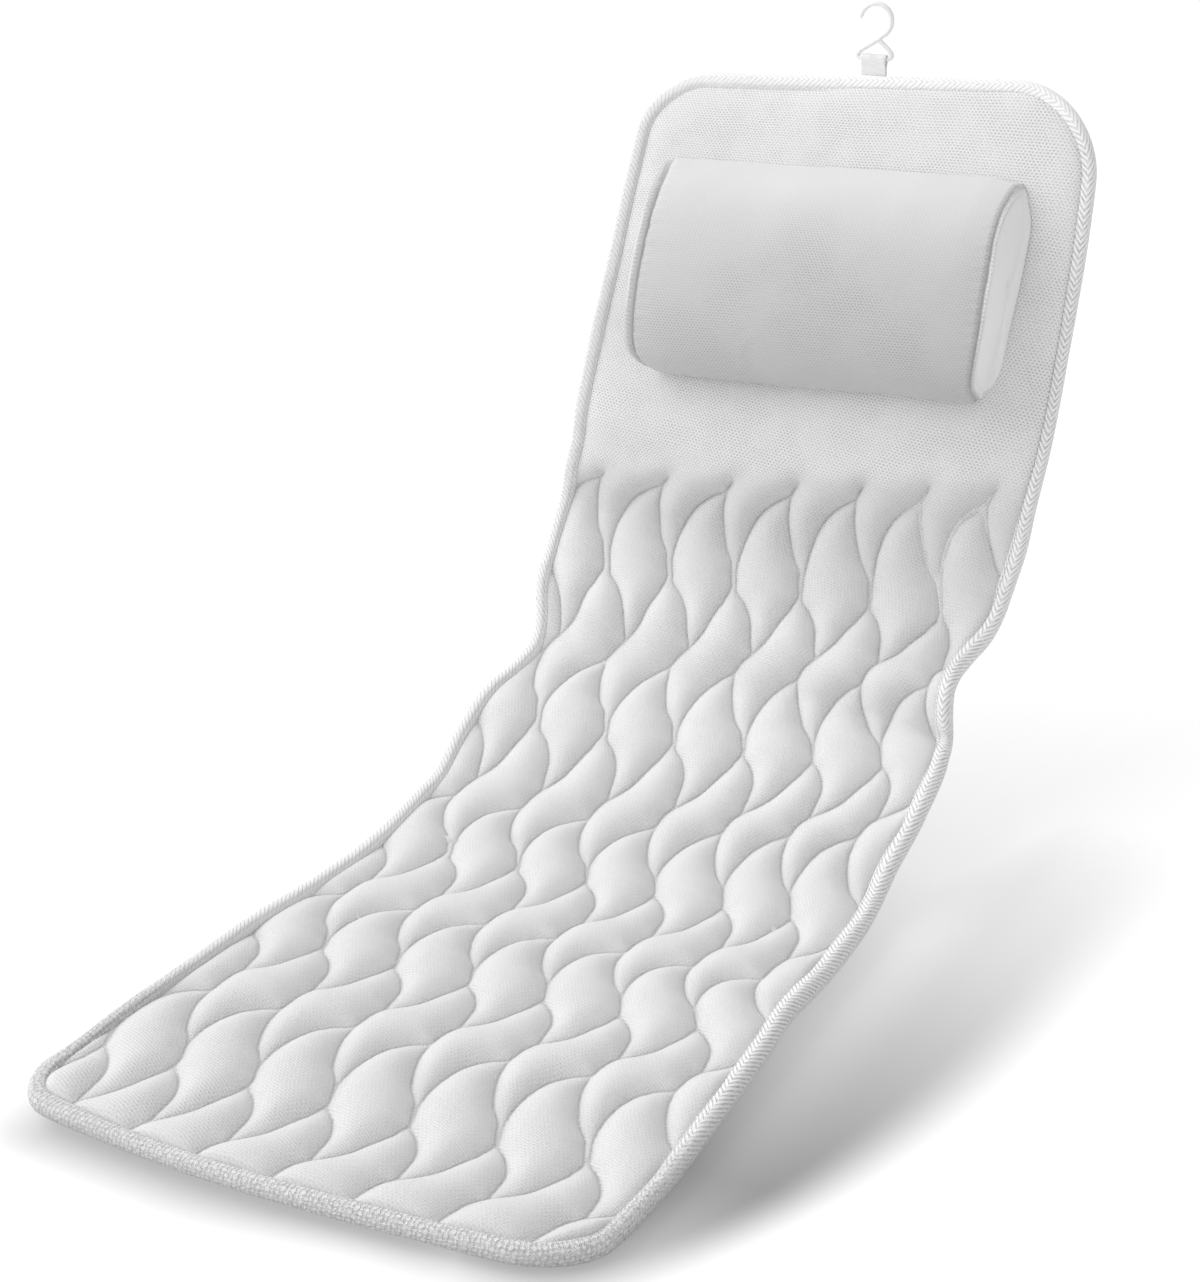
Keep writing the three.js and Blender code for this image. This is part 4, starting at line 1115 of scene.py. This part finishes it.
def catmull(points, step, closed=False):
    """Points along a smooth centripetal curve."""
    p = [np.asarray(q, float) for q in points]
    p = [p[-1]] + p + [p[0], p[1]] if closed else [2 * p[0] - p[1]] + p + [2 * p[-1] - p[-2]]
    out = []
    for a, b, c, d in zip(p[:-3], p[1:-2], p[2:-1], p[3:]):
        t = [0.0]
        for u, w in ((a, b), (b, c), (c, d)):
            t.append(t[-1] + max(math.sqrt(np.linalg.norm(w - u)), 1e-6))
        n = max(2, int(np.linalg.norm(c - b) / step))
        for i in range(n):
            q = t[1] + (t[2] - t[1]) * i / n
            a1 = (t[1] - q) / (t[1] - t[0]) * a + (q - t[0]) / (t[1] - t[0]) * b
            a2 = (t[2] - q) / (t[2] - t[1]) * b + (q - t[1]) / (t[2] - t[1]) * c
            a3 = (t[3] - q) / (t[3] - t[2]) * c + (q - t[2]) / (t[3] - t[2]) * d
            b1 = (t[2] - q) / (t[2] - t[0]) * a1 + (q - t[0]) / (t[2] - t[0]) * a2
            b2 = (t[3] - q) / (t[3] - t[1]) * a2 + (q - t[1]) / (t[3] - t[1]) * a3
            out.append((t[2] - q) / (t[2] - t[1]) * b1 + (q - t[1]) / (t[2] - t[1]) * b2)
    if not closed:
        out.append(p[-2])
    return np.array(out)


def make_hook():
    cz, r = 29.0, 13.5
    pts = [(r * math.cos(math.radians(172 - 197 * i / 9)), 0, cz + r * math.sin(math.radians(172 - 197 * i / 9))) for i in range(10)]
    pts += [(9.4, 0, cz - 9.2), (5.2, 0, cz - 12.2), (2.2, 0, cz - 15.6)]
    line = catmull(pts, 0.8)
    t = np.linspace(0, 1, len(line))
    rad = 1.95 + 0.25 * np.exp(-((t - 0.55) / 0.25) ** 2)
    rad[:3] = [0.9, 1.5, 1.85]
    va, fa = tube(line + BAR, rad, 16)
    eye = [(2.2, 0, cz - 14.6), (-1.6, 0, 12), (-6.6, 0, 8.9), (-11.6, 0, 5.9), (-14.3, 0, 3.2), (-14.4, 0, 1.2), (-12.6, 0, 0), (-7, 0, 0), (7, 0, 0),
           (12.6, 0, 0), (14.9, 0, 1.9), (14.2, 0, 4.6), (9.2, 0, 9.6), (4.4, 0, cz - 15.6), (2.6, 0, cz - 14.8)]
    vb, fb = tube(catmull(eye, 0.8, True) + BAR, 1.9, 16, True)
    o = new_object("hook", np.concatenate([va, vb]), fa + [[i + len(va) for i in f] for f in fb], None, None, None, PLASTIC_MAT)
    fix = o.data
    fix.flip_normals() if outward(fix) < 0 else None
    return o


def outward(me):
    """Signed volume of a closed mesh."""
    v = np.zeros(len(me.vertices) * 3)
    me.vertices.foreach_get("co", v)
    v = v.reshape(-1, 3)
    me.calc_loop_triangles()
    t = np.zeros(len(me.loop_triangles) * 3, np.int32)
    me.loop_triangles.foreach_get("vertices", t)
    a, b, c = (v[t.reshape(-1, 3)[:, i]] for i in range(3))
    return float((a * np.cross(b, c)).sum() / 6)


def make_loop():
    """Webbing folded round the bar, its two layers sewn together into the top edge."""
    ri, th, half = 2.35, 1.15, 11.0
    mid_line = [(-1.05, -13.6), (-1.1, -10.0), (-1.7, -6.0), (-2.6, -3.0)]
    mid_line += [((ri + th / 2) * math.cos(math.radians(a)), (ri + th / 2) * math.sin(math.radians(a))) for a in range(190, -11, -20)]
    mid_line += [(2.6, -3.0), (1.7, -6.0), (1.1, -10.0), (1.05, -13.6)]
    c = catmull([(0, y, z) for y, z in mid_line], 0.7)
    t = unit(np.gradient(c, axis=0))
    nrm = np.stack([np.zeros(len(c)), t[:, 2], -t[:, 1]], -1)
    nx = 25
    xs = np.linspace(-half, half, nx)
    verts, faces = [], []
    sec = len(xs) * 2
    for i, q in enumerate(c):
        for side in (1, -1):
            for j in (range(nx) if side > 0 else range(nx - 1, -1, -1)):
                x = xs[j]
                e = 1 - 0.35 * smooth((abs(x) - half + 1.0) / 1.0)
                sag = 0.35 * math.sin(x * 0.55 + q[2] * 0.3) * math.exp(-abs(q[2]) / 8.0)
                verts.append(q + nrm[i] * (side * th / 2 * e + sag * 0.5) + np.array([x * (1 - 0.04 * math.exp(-((q[2] + 5) / 4.0) ** 2)), 0, 0]))
    for i in range(len(c) - 1):
        for k in range(sec):
            l = (k + 1) % sec
            faces.append([i * sec + k, i * sec + l, (i + 1) * sec + l, (i + 1) * sec + k])
    faces.append(list(range(sec))[::-1])
    faces.append([(len(c) - 1) * sec + k for k in range(sec)])
    o = new_object("loop", np.array(verts) + BAR, faces, None, None, None, WEB_MAT)
    if outward(o.data) < 0:
        o.data.flip_normals()
    return o


hook = make_hook()
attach(hook, "hook")
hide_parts("hanging_hook")
loop = make_loop()
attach(loop, "loop")
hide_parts("hanging_loop")

# ------------------------------------------------------------------ suction cups: the CAD's own, each with a boss up to the padded back cover
for i, (x, s) in enumerate(CUPS):
    body = ("foot", "leg", "head")[i // 4]
    a = math.radians(70.0 if body == "head" else 0.0)
    nrm = np.array([0, -math.sin(a), math.cos(a)])
    foot = flat_at(s, -11.0) + np.array([x, 0, 0]) if body == "head" else np.array([x, s - 452.5, 18.5 - 11.0])
    p, px, ps, nn = mat_frame(x, s)
    top = p - nn * 4.0
    up_v = top - foot
    t = np.linspace(0, 1, 9)
    path = foot + up_v * t[:, None]
    v, f = tube(path, np.interp(t, [0, 0.15, 1], [8.2, 9.4, 11.5]), 24)
    o = new_object(f"boss_{body}_{i % 4 + 1}", v, f, None, {"dist": np.full(len(v), 12.0), "plain": np.full(len(v), 0.5)}, None, MESH_MAT)
    if outward(o.data) < 0:
        o.data.flip_normals()
    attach(o, body)
    cup = bpy.data.objects.get(f"{body}_suction_cup_{i % 4 + 1}")
    if cup is not None:
        cup.data.materials.clear()
        cup.data.materials.append(VINYL_MAT)

for o in mat_pieces + tapes:
    if "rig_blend" in o:
        w = np.zeros(len(o.data.vertices), np.float32)
        o.data.attributes["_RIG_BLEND"].data.foreach_get("value", w)
        uv = np.zeros(len(o.data.loops) * 2, np.float32)
        o.data.uv_layers["flat"].data.foreach_get("uv", uv)
        li = np.zeros(len(o.data.loops), np.int32)
        o.data.loops.foreach_get("vertex_index", li)
        s = np.zeros(len(w))
        s[li] = uv.reshape(-1, 2)[:, 1] * 1000
        if o.name.startswith("mat"):
            lo, hi = s < s.min() + 0.1, s > s.max() - 0.1
            print("blend", o.name, "start", float(w[lo].max()), "end", float(w[hi].min()))

# ------------------------------------------------------------------ camera, floor, light
scene = bpy.context.scene
cam_data = bpy.data.cameras.new("camera")
cam = bpy.data.objects.new("camera", cam_data)
scene.collection.objects.link(cam)
cam_data.sensor_fit, cam_data.sensor_height, cam_data.lens = "VERTICAL", 36.0, 60.893
cam_data.clip_start, cam_data.clip_end = 0.05, 200.0
yaw, pitch, roll = math.radians(29.115), math.radians(22.413), math.radians(0.1426)
fwd = Vector((-math.sin(yaw) * math.cos(pitch), math.cos(yaw) * math.cos(pitch), -math.sin(pitch)))
right = Vector((math.cos(yaw), math.sin(yaw), 0.0))
up = right.cross(fwd)
r2 = right * math.cos(roll) + up * math.sin(roll)
u2 = -right * math.sin(roll) + up * math.cos(roll)
cam.matrix_world = Matrix(((r2.x, u2.x, -fwd.x, 0.69049), (r2.y, u2.y, -fwd.y, -1.26110), (r2.z, u2.z, -fwd.z, 0.80510), (0, 0, 0, 1)))
scene.camera = cam

bpy.ops.mesh.primitive_plane_add(size=60, location=(0, 0, 0))
floor = bpy.context.object
floor.name = "floor"
fm, nt, b = node_material("floor")
n = Nodes(nt)
# studio sweep with a glow of its own (painted light that lightens the real shadows), and a painted soft shadow beside
# and before the mat, in both its colour and its glow
sep = nt.nodes.new("ShaderNodeSeparateXYZ")
nt.links.new(n.position(), sep.inputs[0])
fx, fy = sep.outputs[0], sep.outputs[1]
# painted shadow beside the mat's right side: darkest near the foot end, fading out to the right and towards the head
off = n.math("SUBTRACT", fx, 0.2)
t = n.math("DIVIDE", n.math("ADD", fy, 0.30), 0.72, clamp=True)
far = n.math("SUBTRACT", 0.66, n.math("MULTIPLY", n.math("ADD", fy, 0.23), 1.22))
far = n.math("MULTIPLY", n.math("MINIMUM", far, 0.705), n.ramp(fy, -0.42, -0.26, 0.62, 1.0))
deep = n.math("SUBTRACT", far, n.math("MULTIPLY", n.ramp(off, 0.0, 0.07, 1.0, 0.0), n.ramp(fy, -0.30, -0.10, 0.10, 0.18)), clamp=True)
wide = n.math("SUBTRACT", 0.158, n.math("MULTIPLY", n.math("POWER", 2.71828, n.math("DIVIDE", n.math("ADD", fy, 0.405), -0.22)), 0.158))
soft = n.math("ADD", 0.024, n.math("MULTIPLY", t, 0.03))
side = n.ramp(n.math("DIVIDE", n.math("SUBTRACT", off, wide), soft), -1.0, 1.0, 1.0, 0.0)
side = n.math("MULTIPLY", n.math("MULTIPLY", side, deep), n.math("MULTIPLY", n.ramp(fx, 0.05, 0.15), n.ramp(fy, -0.45, -0.40)))
# painted shadow just before the foot edge
close = n.math("SUBTRACT", fy, n.ramp(fx, -0.06, 0.10, 0.0, 0.024))
front = n.math("MULTIPLY", n.ramp(close, -0.474, -0.434, 0.0, 0.33), n.math("MULTIPLY", n.ramp(fx, -0.225, -0.16), n.ramp(fx, 0.20, 0.08)))
front = n.math("MULTIPLY", front, n.ramp(fy, -0.36, -0.40))
shade = n.math("SUBTRACT", 1.0, n.math("MAXIMUM", side, front))
floor_colour = n.mix(shade, (0.0, 0.0, 0.0), (0.50, 0.50, 0.50))
nt.links.new(n.mix(n.ramp(n.noise(n.position(), 0.6, 2.0), 0.3, 0.7, 0.0, 0.02), floor_colour, (0.45, 0.45, 0.45)), b.inputs["Base Color"])
# painted light: the floor glows, with the same painted shadow in the glow
nt.links.new(n.mix(shade, (0.0, 0.0, 0.0), (1.0, 1.0, 1.0)), b.inputs["Emission Color"])
b.inputs["Emission Strength"].default_value = 0.52
b.inputs["Roughness"].default_value = 0.9
b.inputs["Specular IOR Level"].default_value = 0.0
floor.data.materials.append(fm)

world = bpy.data.worlds.new("world")
scene.world = world
world.use_nodes = True
# an even studio dome, a little brighter overhead than at the front
wn = Nodes(world.node_tree)
coord = world.node_tree.nodes.new("ShaderNodeTexCoord")
wsep = world.node_tree.nodes.new("ShaderNodeSeparateXYZ")
world.node_tree.links.new(coord.outputs["Generated"], wsep.inputs[0])
lift = wn.math("SUBTRACT", wn.math("MULTIPLY", wsep.outputs[2], 0.20), wn.math("MULTIPLY", wsep.outputs[0], 0.04))
back = world.node_tree.nodes["Background"]
back.inputs[0].default_value = (1.0, 1.0, 1.0, 1.0)
world.node_tree.links.new(wn.math("ADD", lift, 0.56), back.inputs[1])


def sun(name, direction, energy, angle, color=(1, 1, 1)):
    l = bpy.data.lights.new(name, "SUN")
    l.energy, l.angle, l.color = energy, math.radians(angle), color
    o = bpy.data.objects.new(name, l)
    scene.collection.objects.link(o)
    o.rotation_mode = "QUATERNION"
    o.rotation_quaternion = Vector(direction).to_track_quat("-Z", "Y")
    return o


sun("key", (0.80, 0.22, -0.66), 2.3, 72)
scene.view_settings.view_transform = "Standard"
scene.view_settings.look = "None"
scene.view_settings.exposure = 0.0
scene.view_settings.gamma = 1.0

bpy.context.view_layer.update()
